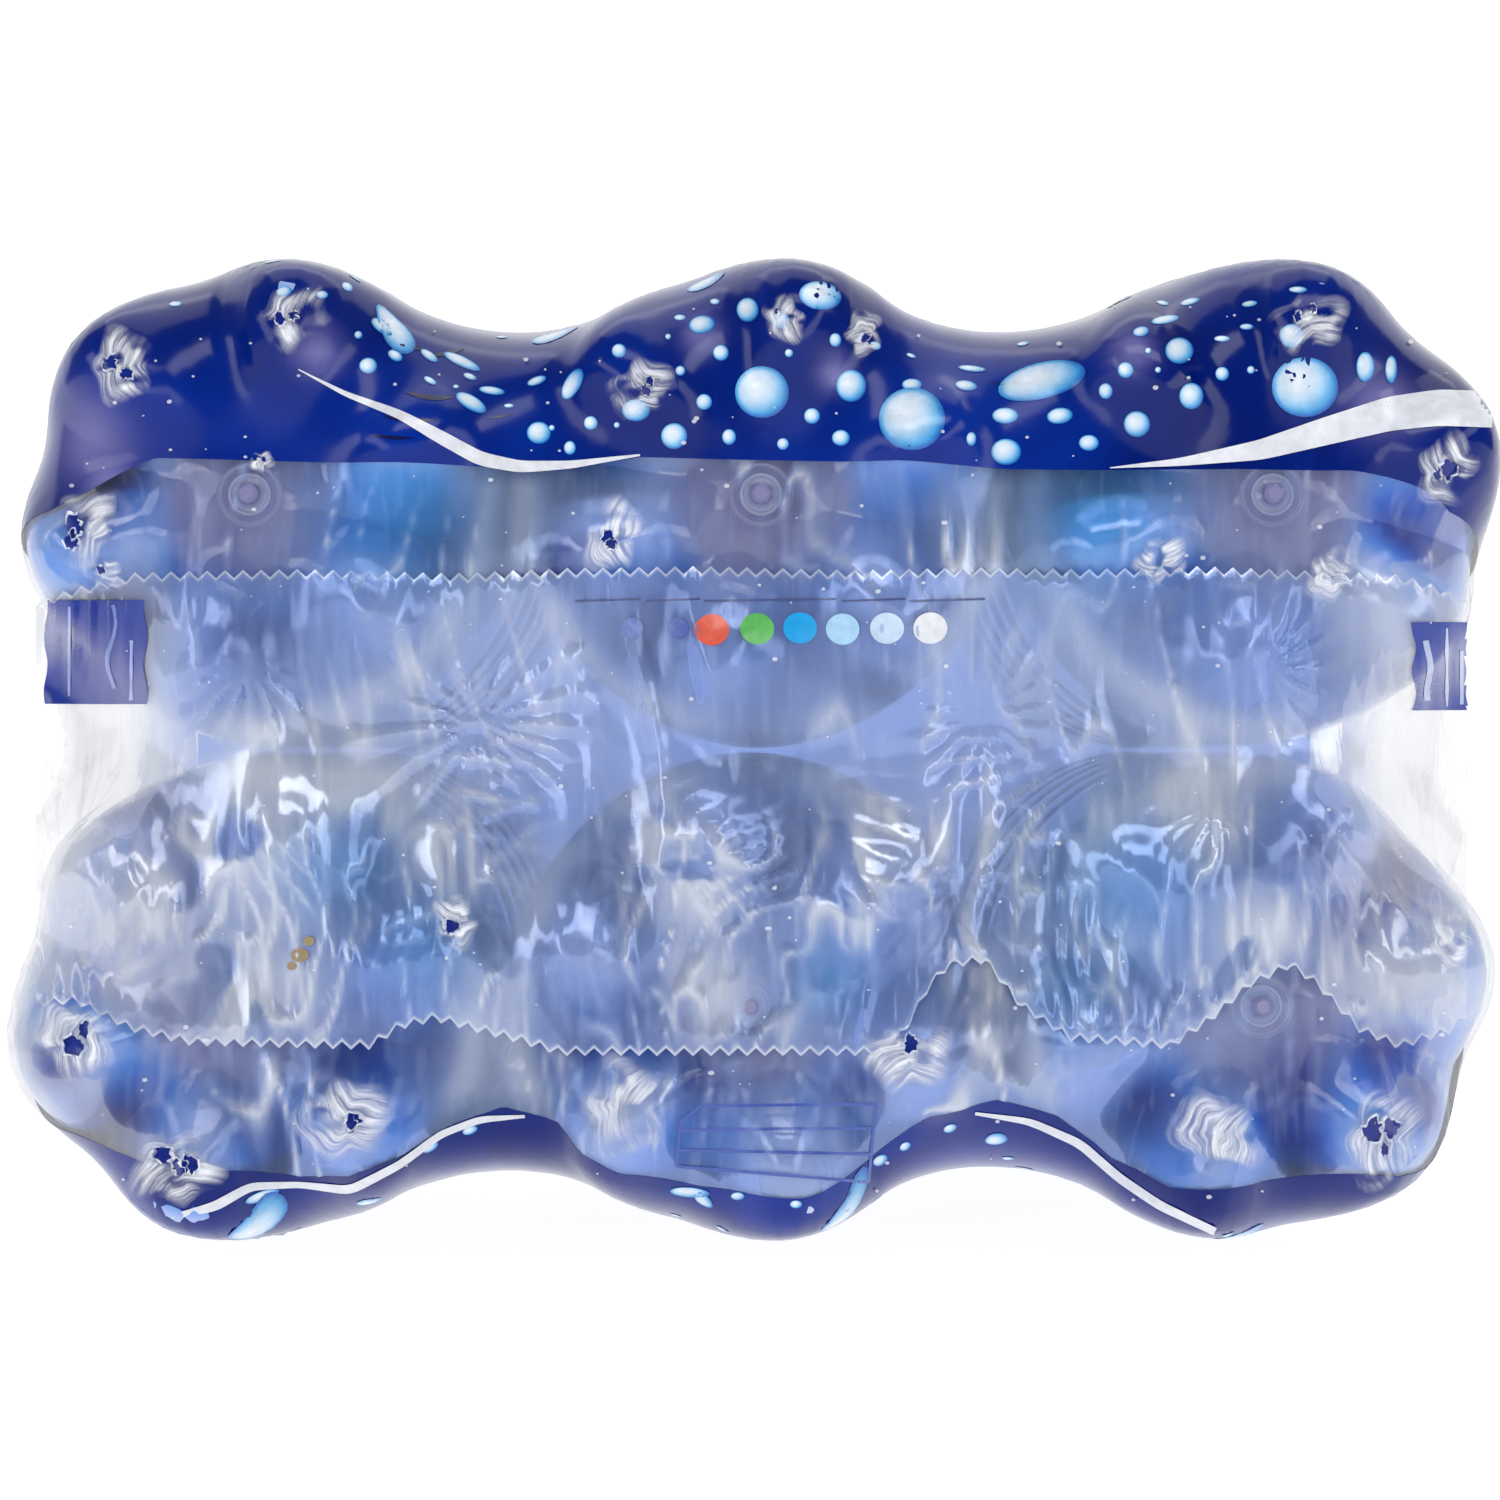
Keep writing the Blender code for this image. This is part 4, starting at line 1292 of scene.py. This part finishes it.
def scuff_material():
    """Film rubbed thin against the floor of a shelf or pallet: matt white scratches over the foot."""
    material = new_material("LDPE film, scuffed")
    flat = add_node(material, "UVMap", uv_map="flat")
    stretched = add_node(
        material, "Mapping", {"Vector": flat.outputs["UV"], "Scale": (90.0, 900.0, 1.0)}
    )
    scratches = add_node(
        material, "TexNoise",
        {"Vector": stretched.outputs["Vector"], "Scale": 1.0, "Detail": 4.0, "Roughness": 0.65},
    )
    lines = add_node(
        material, "MapRange",
        {
            "Value": scratches.outputs["Fac"], "From Min": 0.40, "From Max": 0.62, "To Min": 0.22,
            "To Max": 1.0,
        },
    )
    haze = add_node(material, "Attribute", attribute_name="haze")
    cover = add_node(
        material, "Math",
        {0: lines.outputs["Result"], 1: haze.outputs["Fac"]}, operation="MULTIPLY", use_clamp=True,
    )
    bump = add_node(
        material, "Bump", {"Strength": 0.5, "Distance": 0.0004, "Height": scratches.outputs["Fac"]}
    )
    surface = add_node(
        material, "BsdfPrincipled",
        {
            "Base Color": srgb("#F2F5FD"), "Roughness": 0.32, "IOR": 1.51,
            "Normal": bump.outputs["Normal"],
        },
    )
    return show_through(material, surface, cover.outputs["Value"])


def torn_film_material():
    """Torn film: curled, stretched white where it gave way."""
    material = new_material("LDPE film, torn")
    place = add_node(material, "TexCoord")
    grain = add_node(
        material, "TexNoise", {"Vector": place.outputs["Object"], "Scale": 900.0, "Detail": 3.0}
    )
    tone = add_node(
        material, "ValToRGB", {"Fac": grain.outputs["Fac"]}, stops=((0.35, "#AEBCE0"), (0.6, "#F4F7FE"))
    )
    bump = add_node(
        material, "Bump", {"Strength": 0.6, "Distance": 0.0003, "Height": grain.outputs["Fac"]}
    )
    surface = add_node(
        material, "BsdfPrincipled",
        {
            "Base Color": tone.outputs["Color"], "Roughness": 0.28, "IOR": 1.51,
            "Normal": bump.outputs["Normal"],
        },
    )
    return show(material, surface)


class SIXPACK_OT_film(bpy.types.Operator):
    """Shrinks the film round the six bottles: blue print over both long sides, clear between"""

    bl_idname = "sixpack.film"
    bl_label = "Shrink film"

    def execute(self, context):
        settings = pack_settings()
        make_film_surface(settings)
        lower, upper = Film.rows
        count = Film.grid.shape[1]
        back = HEEL_ROWS + BASE_ROWS + SIDE_ROWS
        printed = printed_film_material()
        clear = clear_film_material("LDPE film, clear", 0.02, "#B0C8FC")
        film_part("film_base_clear", list(range(lower, upper + 1)), clear, settings)
        film_part("film_print_upper", list(range(upper, back + 9)), printed, settings)
        tinted = tinted_film_material()
        film_part("film_caps_tinted", list(range(back + 8, back + BACK_ROWS - 7)), tinted, settings)
        under = list(range(back + BACK_ROWS - 8, count)) + list(range(lower + 1))
        film_part("film_print_lower", under, printed, settings)
        return {"FINISHED"}


UNSEEN_BUBBLES = 150
UNSEEN_X, UNSEEN_Y = (-0.125, 0.125), (FEET_Y + 0.012, FEET_Y + 0.225)
RIBBON_X = (-0.128, 0.128)
BUBBLE_LIFT = 0.00010
INK_LIFT = 0.00012
RIBBON_LIFT = 0.00014
PLEAT_SHADOW_LIFT = 0.00009
SCUFF_LIFT = 0.00035
HOLE_LIFT = 0.00050
LONGEST_FACE = 0.012


class Decals:
    """Points, faces and colours of thin printed shapes that lie on the film."""

    def __init__(self):
        self.points, self.faces, self.colours, self.flat = [], [], [], []

    def add(self, caster, places, faces, colours, lift, flat=None):
        """Adds a patch where it meets the film; lift may be one number or one a place."""
        lifts = np.broadcast_to(lift, len(places))
        index, made = {}, []
        for number, ((a, b), height) in enumerate(zip(places, lifts)):
            point, normal = caster(a, b)
            if point is not None:
                index[number] = len(made)
                made.append(point + normal * height)
        start = len(self.points)
        kept = []
        for face in faces:
            if all(k in index for k in face):
                corners = np.array([made[index[k]] for k in face])
                if np.ptp(corners, axis=0).max() < LONGEST_FACE:
                    kept.append(tuple(start + index[k] for k in face))
        if not kept:
            return False
        self.faces += kept
        self.points += made
        self.colours += [colours[k] for k in index]
        self.flat += [flat[k] for k in index] if flat is not None else [(0.0, 0.0)] * len(made)
        return True

    def build(self, name, material, slot, smooth=60, haze=None):
        used = sorted({k for face in self.faces for k in face})
        fresh = {old: new for new, old in enumerate(used)}
        faces = [tuple(fresh[k] for k in face) for face in self.faces]
        obj = object_from(name, [self.points[k] for k in used], faces)
        colours = np.array([tuple(self.colours[k]) for k in used])
        if haze is None:
            set_colour(obj, "ink", colours)
        else:
            set_value(obj, "haze", colours[:, 0])
        flat = np.array([self.flat[k] for k in used])
        set_uv(obj, flat[:, 0], flat[:, 1])
        return finish_piece(obj, name, material, slot, smooth=smooth)


def disc(rings, sides):
    """Places on a unit disc, centre first, and its faces."""
    turns = np.arange(sides) * 2 * math.pi / sides
    places = [(0.0, 0.0)]
    faces = []
    for number, radius in enumerate(rings):
        places += [(radius * math.cos(turn), radius * math.sin(turn)) for turn in turns]
        for k in range(sides):
            after = (k + 1) % sides
            if number == 0:
                faces.append((0, 1 + k, 1 + after))
            else:
                low, high = 1 + (number - 1) * sides, 1 + number * sides
                faces.append((low + k, high + k, high + after, low + after))
    return np.array(places), faces


BUBBLE_TONES = (
    (0.0, "#EEF6FE"), (0.45, "#D8E9FA"), (0.75, "#A6D0F2"), (1.0, "#4FA9E2"), (1.3, "#2A86D2"),
    (1.6, "#1A5CB8"),
)


def bubble_colours(places):
    """A bubble is palest up and to the left of its middle and deepens to its lower right rim."""
    steps = [step for step, _ in BUBBLE_TONES]
    tones = np.array([srgb(tone) for _, tone in BUBBLE_TONES])
    away = np.hypot(places[:, 0] + 0.22, places[:, 1] - 0.22)
    rim = np.clip((np.hypot(places[:, 0], places[:, 1]) - 0.80) / 0.2, 0, 1) * 0.40
    return np.column_stack([np.interp(away + rim, steps, tones[:, k]) for k in range(4)])


def add_bubble(decals, caster, a, b, radius_a, radius_b, turn, down):
    """One bubble; down is -1 where the caster's second axis runs down, as in the photograph."""
    sides = 28 if max(radius_a, radius_b) > 8 else 16
    places, faces = disc((0.35, 0.6, 0.8, 0.93, 1.0), sides)
    angle = math.radians(turn)
    across = places[:, 0] * radius_a * math.cos(angle) - places[:, 1] * radius_b * math.sin(angle)
    up = places[:, 0] * radius_a * math.sin(angle) + places[:, 1] * radius_b * math.cos(angle)
    spots = np.column_stack((a + across, b + down * up))
    decals.add(caster, spots, faces, bubble_colours(places), BUBBLE_LIFT)


def add_band(decals, caster, path, colour, lift, step=4.0, rows=4):
    """A ribbon of changing width along a path of (a, b, width), rounded between its points."""
    path = np.array(path, float)
    lengths = np.append(0, np.cumsum(np.hypot(*np.diff(path[:, :2], axis=0).T)))
    count = max(3, int(lengths[-1] / step))
    fine = np.linspace(0, lengths[-1], count)
    line = np.column_stack([np.interp(fine, lengths, path[:, k]) for k in range(3)])
    for _ in range(6):
        line[1:-1] = (line[:-2] + 2 * line[1:-1] + line[2:]) / 4
    way = np.gradient(line[:, :2], axis=0)
    side = np.column_stack((-way[:, 1], way[:, 0]))
    side = side / np.maximum(np.hypot(way[:, 0], way[:, 1]), 1e-9)[:, None]
    shares = np.linspace(-0.5, 0.5, rows)
    spots = line[:, None, :2] + side[:, None, :] * (line[:, 2, None] * shares)[:, :, None]
    spots = spots.reshape(-1, 2)
    decals.add(caster, spots, sheet_faces(count, rows, False), [srgb(colour)] * len(spots), lift)


class SIXPACK_OT_print(bpy.types.Operator):
    """Prints the film: bubbles, white ribbons, colour dots and bars"""

    bl_idname = "sixpack.print"
    bl_label = "Print"

    def execute(self, context):
        random = np.random.default_rng(11)
        ink = ink_material()
        bubbles = Decals()
        for px, py, a, b, turn in BUBBLES:
            add_bubble(bubbles, from_photo, px, py, a, b, turn, -1)
        for caster in (from_above, from_below):
            placed = []
            for _ in range(UNSEEN_BUBBLES):
                x, y = random.uniform(*UNSEEN_X), random.uniform(*UNSEEN_Y)
                size = 0.0011 + 0.0055 * random.random() ** 4
                if all(math.hypot(x - p[0], y - p[1]) > size + p[2] + 0.001 for p in placed):
                    placed.append((x, y, size))
                    add_bubble(bubbles, caster, x, y, size, size, 0, 1)
        bubbles.build("print_bubbles", ink, "film")
        ribbons = Decals()
        for path in RIBBONS:
            add_band(ribbons, from_photo, path, "#E3E6EE", RIBBON_LIFT, rows=9)
        for caster, shift in ((from_above, 0.0), (from_below, 0.02)):
            path = []
            for x in np.linspace(*RIBBON_X, 30):
                y = FEET_Y + 0.10 + shift + 0.035 * math.sin(14 * x + 0.6)
                path.append((x, y, 0.004 + 0.012 * abs(math.cos(9 * x))))
            for first in range(0, 29, 7):
                add_band(ribbons, caster, path[first : first + 8], "#E3E6EE", RIBBON_LIFT, step=0.002)
        ribbons.build("print_ribbons", ink, "film")
        marks = Decals()
        places, faces = disc((0.6, 1.0), 24)
        for px, py, colour, radius in DOTS:
            spots = np.column_stack((px + places[:, 0] * radius, py - places[:, 1] * radius * 0.92))
            marks.add(from_photo, spots, faces, [srgb(colour)] * len(spots), INK_LIFT)
        for px, sway, down, wave, width, swell, power, colour, lift in BARS:
            path = [
                (px + sway * math.sin(py / wave), py, width + swell * math.sin(py / wave) ** power)
                for py in down
            ]
            add_band(marks, from_photo, path, colour, lift, step=4, rows=21)
        for start, end in RULES:
            path = [(start, RULES_PY[0], 2), (end, RULES_PY[1], 2)]
            add_band(marks, from_photo, path, "#4C5684", INK_LIFT, rows=2)
        for (x0, y0), (x1, y1) in list(zip(FRAME_LINE, FRAME_LINE[1:])) + list(FRAME_BARS):
            add_band(marks, from_photo, [(x0, y0, 3), (x1, y1, 3)], "#4A60B4", INK_LIFT, rows=2)
        for px, py, size in DIRT:
            spots = np.column_stack((px + places[:, 0] * size, py - places[:, 1] * size * 0.8))
            marks.add(from_photo, spots, faces, [srgb("#9C8A6A")] * len(spots), INK_LIFT)
        # Painted shadows of small wrinkles, in near-black blue.
        for px, py, length, width, turn in PLEAT_SHADOWS:
            across = math.cos(math.radians(turn)) * length / 2
            up = math.sin(math.radians(turn)) * length / 2
            path = [
                (px + s * across, py + s * up + width * (1 - s * s) / 2, width * (1.05 - s * s))
                for s in np.linspace(-1, 1, 9)
            ]
            add_band(marks, from_photo, path, "#000A46", PLEAT_SHADOW_LIFT, step=4, rows=4)
        marks.build("print_marks", ink, "film")
        return {"FINISHED"}


FLAP_ROWS = 96
FLAP_BEHIND_Y = FEET_Y + 0.05


class SIXPACK_OT_flap(bpy.types.Operator):
    """Lays the film's overlapping end over the base, cut in a zigzag along both edges"""

    bl_idname = "sixpack.flap"
    bl_label = "Overlap"

    def execute(self, context):
        settings = pack_settings()
        left, right = FLAP_PX
        count = int((right - left) / FLAP_TOOTH_PX)
        px = left + np.arange(count + 1) * FLAP_TOOTH_PX
        rows = FLAP_ROWS
        teeth = 4.0 * (2 * np.abs((np.arange(count + 1) % 4) / 2 - 1) - 1)
        top = photo_line(FLAP_TOP, px) + teeth
        bottom = photo_line(FLAP_BOTTOM, px) - teeth
        share = np.linspace(0, 1, rows - 1)
        share = np.insert(share, 1, share[1] * 0.35)
        py = top[:, None] + (bottom - top)[:, None] * share[None, :]
        depth = np.full(py.shape, np.nan)
        for i in range(len(px)):
            for j in range(rows):
                point, _ = from_photo(px[i], py[i, j])
                if point is not None:
                    depth[i, j] = point[1]
        depth = np.where(np.isnan(depth), FLAP_BEHIND_Y, depth)
        depth = np.minimum(depth, FLAP_BEHIND_Y)
        smooth = depth.copy()
        for _ in range(60):
            padded = np.pad(smooth, 1, mode="edge")
            around = padded[:-2, 1:-1] + padded[2:, 1:-1] + padded[1:-1, :-2] + padded[1:-1, 2:]
            smooth = np.minimum((around + 2 * smooth) / 6, depth)
        distance = smooth - EYE[1]
        across = (px[:, None] - PHOTO_MIDDLE) * VIEW_SLOPE
        up = (PHOTO_MIDDLE - py) * VIEW_SLOPE
        x0, z0 = across * distance, up * distance
        soft, thin = folds(x0, z0, 21)
        x0, z0 = x0 + EYE[0], z0 + MIDDLE
        rays = pinch_rays(x0, z0, 9)
        fans = fan_creases(x0, z0)
        fine, pressed = crumples(x0, z0, 80)
        lift = 0.0004 + 0.0020 * soft + 0.0004 * thin + 0.0010 * rays + 0.0006 * fans + 0.0005 * fine
        border = np.minimum(np.minimum(share, 1 - share) * 40, 1)[None, :]
        ends = np.clip(np.minimum(px - left, right - px) / 40, 0, 1)[:, None]
        lift = 0.0003 + (lift - 0.0003) * (0.4 + 0.6 * border) * ends
        distance = distance - lift
        places = (EYE[0] + across * distance, EYE[1] + distance, EYE[2] + up * distance)
        points = np.stack(places, axis=2)
        faces = sheet_faces(len(px), rows, False)
        obj = object_from("flap", points.reshape(-1, 3), faces)
        Film.trees.append(BVHTree.FromPolygons([Vector(p) for p in points.reshape(-1, 3)], faces))
        face_outwards(obj)
        set_uv(obj, points[:, :, 0].ravel(), points[:, :, 2].ravel())
        edge = np.zeros(rows)
        edge[[0, -1]] = 1.0
        edge[1] = 0.5
        # Painted azure refracted light over the lower bottles, which the film shows bluer and clearer.
        painted_azure_light = patches_at(x0, z0, PAINTED_AZURE_LIGHT_PATCHES)
        tight = 1 - 0.85 * np.maximum(patches_at(x0, z0, PAINTED_DARK_REFRACTION_PATCHES), 0.7 * painted_azure_light)
        veil = 0.20 * gap_share_and_rim_light(x0, z0) + 0.55 * patches_at(x0, z0, WHITE_PATCHES)
        tight = tight * (1 - 0.8 * pressed)
        # The creases' whitening is partly stress-whitened film and partly painted glints along the crests.
        creases = np.maximum(np.maximum(0.30 * thin**2, 0.5 * fans**2), 0.50 * fine**1.5)
        haze = 0.08 * soft + 0.16 * rays + creases + 0.9 * edge[None, :] + (veil + 0.08) * tight
        haze = np.clip(haze, 0, 1)
        set_value(obj, "haze", haze.ravel())
        set_value(obj, "painted_azure_light", painted_azure_light.ravel())
        thicken(obj, settings.film_thickness)
        material = clear_film_material("LDPE film, double", 0.08, "#B2CAFF")
        finish_piece(obj, "film_overlap", material, "film", smooth=60)
        return {"FINISHED"}


SPECKS = 260
TEAR_SIDES = 18


class SIXPACK_OT_wear(bpy.types.Operator):
    """Rubs the film white over the feet and tears small holes in it"""

    bl_idname = "sixpack.wear"
    bl_label = "Wear"

    def execute(self, context):
        random = np.random.default_rng(5)
        scuffs, holes, shards = Decals(), Decals(), Decals()
        places, faces = disc(np.linspace(0.10, 1.0, 12), 40)
        radius = np.hypot(places[:, 0], places[:, 1])
        angle = np.arctan2(places[:, 1], places[:, 0])
        for px, py, size, tears in SCUFFS:
            lobes = 1 + 0.18 * np.sin(2 * angle + random.random() * 6)
            lobes += 0.12 * np.sin(5 * angle + random.random() * 6)
            spots = np.column_stack((px + places[:, 0] * size * lobes, py - places[:, 1] * size * lobes))
            patchy = smooth_noise(places[:, 0], places[:, 1], 0.45, 0.30, int(px + py))
            fade = np.clip((1 - radius) / 0.4, 0, 1) * np.clip(3.2 * patchy - 0.6, 0, 1)
            way = random.random() * math.pi
            along = places[:, 0] * math.cos(way) + places[:, 1] * math.sin(way)
            across = places[:, 1] * math.cos(way) - places[:, 0] * math.sin(way) + 0.55 * along**2
            flat = np.column_stack((along, across)) * size / PIXELS_PER_METRE + random.random()
            colours = np.column_stack((fade, fade, fade, fade))
            scuffs.add(from_photo, spots, faces, colours, SCUFF_LIFT, flat)
            for _ in range(tears):
                self.tear(random, holes, shards, px, py, size)
        speck, speck_faces = disc((1.0,), 6)
        for _ in range(SPECKS):
            px, py = random.uniform(*SPECKS_PX), random.uniform(*SPECKS_PY)
            size = 0.8 + 1.6 * random.random() ** 3
            spots = np.column_stack((px + speck[:, 0] * size * 1.3, py - speck[:, 1] * size))
            scuffs.add(from_photo, spots, speck_faces, [(1.0,) * 4] * len(spots), SCUFF_LIFT)
        scuffs.build("scuffed_film", scuff_material(), "film", haze=True)
        holes.build("torn_holes", ink_material(), "film")
        shards.build("torn_shreds", torn_film_material(), "film", smooth=30)
        return {"FINISHED"}

    def tear(self, random, holes, shards, px, py, size):
        """One ragged hole with shreds of film curled up round it."""
        cx = px + random.uniform(-0.35, 0.35) * size
        cy = py + random.uniform(-0.35, 0.35) * size
        sides = TEAR_SIDES
        reach = random.uniform(0.14, 0.30) * size
        ragged = reach * (0.6 + 0.55 * random.random(sides))
        turns = np.arange(sides) * 2 * math.pi / sides
        stretch = random.uniform(0.6, 1.0)
        inner = np.column_stack((cx + ragged * np.cos(turns) * stretch, cy + ragged * np.sin(turns)))
        spots = np.vstack(((cx, cy), inner))
        faces = [(0, 1 + (k + 1) % sides, 1 + k) for k in range(sides)]
        if not holes.add(from_photo, spots, faces, [srgb("#0B2484")] * len(spots), HOLE_LIFT):
            return
        outer = np.column_stack(
            (cx + ragged * 1.28 * np.cos(turns) * stretch, cy + ragged * 1.28 * np.sin(turns))
        )
        middle = (inner + outer) / 2
        rings = np.vstack((inner, middle, outer))
        faces = []
        for k in range(sides):
            after = (k + 1) % sides
            if random.random() < 0.75:
                faces.append((k, after, sides + after, sides + k))
                faces.append((sides + k, sides + after, 2 * sides + after, 2 * sides + k))
        inner_lift = 0.0005 + 0.0007 * random.random(sides)
        middle_lift = 0.0007 + 0.0005 * random.random(sides)
        lift = np.concatenate((inner_lift, middle_lift, np.full(sides, 0.0003)))
        shards.add(from_photo, rings, faces, [srgb("#FFFFFF")] * len(rings), lift)


STAGE_SHEETS = (("floor", (0, 1.0, 0), 0, 0.97), ("backdrop", (0, 2.5, 0), 90, 1.0))
SOFTBOXES = (
    ("left strip softbox", (-0.62, FEET_Y - 0.45, 0.28), (0.20, 0.90), 1.9),
    ("right strip softbox", (0.62, FEET_Y - 0.42, 0.28), (0.20, 0.90), 1.7),
    ("top softbox", (0.05, FEET_Y - 0.35, 0.72), (0.80, 0.22), 2.4),
    ("upper back softbox", (0.0, 0.25, 0.95), (1.0, 0.5), 1.5),
)


class SIXPACK_OT_stage(bpy.types.Operator):
    """Sets the pale floor, the soft studio lights and the camera that looks straight at the base"""

    bl_idname = "sixpack.stage"
    bl_label = "Stage"

    def execute(self, context):
        settings = pack_settings()
        scene = context.scene
        for name, place, turn, glow in STAGE_SHEETS:
            material = new_material("matt white paper, " + name)
            surface = add_node(
                material, "BsdfPrincipled",
                {
                    "Base Color": srgb("#808080"), "Roughness": 0.9, "Emission Color": srgb("#FFFFFF"),
                    "Emission Strength": glow,
                },
            )
            show(material, surface)
            deselect_all()
            bpy.ops.mesh.primitive_plane_add(size=8.0, location=place, rotation=(math.radians(turn), 0, 0))
            sheet = context.active_object
            sheet.name = name
            sheet.data.materials.append(material)
        world = bpy.data.worlds.new("studio")
        world.use_nodes = True
        world.node_tree.nodes["Background"].inputs["Color"].default_value = (1, 1, 1, 1)
        world.node_tree.nodes["Background"].inputs["Strength"].default_value = 0.11
        scene.world = world
        for name, place, size, power in SOFTBOXES:
            light = bpy.data.lights.new(name, "AREA")
            light.shape = "RECTANGLE"
            light.size, light.size_y = size
            light.energy = power
            made = bpy.data.objects.new(name, light)
            scene.collection.objects.link(made)
            made.location = place
            way = Vector((0, FEET_Y, MIDDLE)) - Vector(place)
            made.rotation_euler = way.to_track_quat("-Z", "Z").to_euler()
        camera = bpy.data.cameras.new("camera")
        camera.sensor_width = SENSOR
        camera.lens = LENS
        camera.clip_start = 0.01
        made = bpy.data.objects.new("camera", camera)
        scene.collection.objects.link(made)
        made.location = (EYE[0], FEET_Y - settings.camera_distance, EYE[2])
        made.rotation_euler = (math.radians(90), 0, 0)
        scene.camera = made
        scene.view_settings.view_transform = "Standard"
        scene.cycles.transparent_max_bounces = 20
        scene.cycles.max_bounces = 6
        scene.cycles.diffuse_bounces = 3
        return {"FINISHED"}


class SIXPACK_PT_panel(bpy.types.Panel):
    """The sidebar's list of settings and steps"""

    bl_label = "Six-pack"
    bl_idname = "SIXPACK_PT_panel"
    bl_space_type = "VIEW_3D"
    bl_region_type = "UI"
    bl_category = "Six-pack"

    def draw(self, context):
        for name in SixPackSettings.__annotations__:
            self.layout.prop(context.scene.six_pack, name)
        for step in STEPS:
            self.layout.operator(step.bl_idname)


STEPS = (
    SIXPACK_OT_bottles,
    SIXPACK_OT_water,
    SIXPACK_OT_caps,
    SIXPACK_OT_film,
    SIXPACK_OT_flap,
    SIXPACK_OT_print,
    SIXPACK_OT_wear,
    SIXPACK_OT_stage,
)
CLASSES = (SixPackSettings, *STEPS, SIXPACK_PT_panel)


def register():
    for found in CLASSES:
        bpy.utils.register_class(found)
    bpy.types.Scene.six_pack = bpy.props.PointerProperty(type=SixPackSettings)


def unregister():
    del bpy.types.Scene.six_pack
    for found in reversed(CLASSES):
        bpy.utils.unregister_class(found)


def main():
    register()
    bpy.ops.sixpack.bottles()
    bpy.ops.sixpack.water()
    bpy.ops.sixpack.caps()
    bpy.ops.sixpack.film()
    bpy.ops.sixpack.flap()
    bpy.ops.sixpack.print()
    bpy.ops.sixpack.wear()
    bpy.ops.sixpack.stage()


if __name__ == "__main__":
    main()
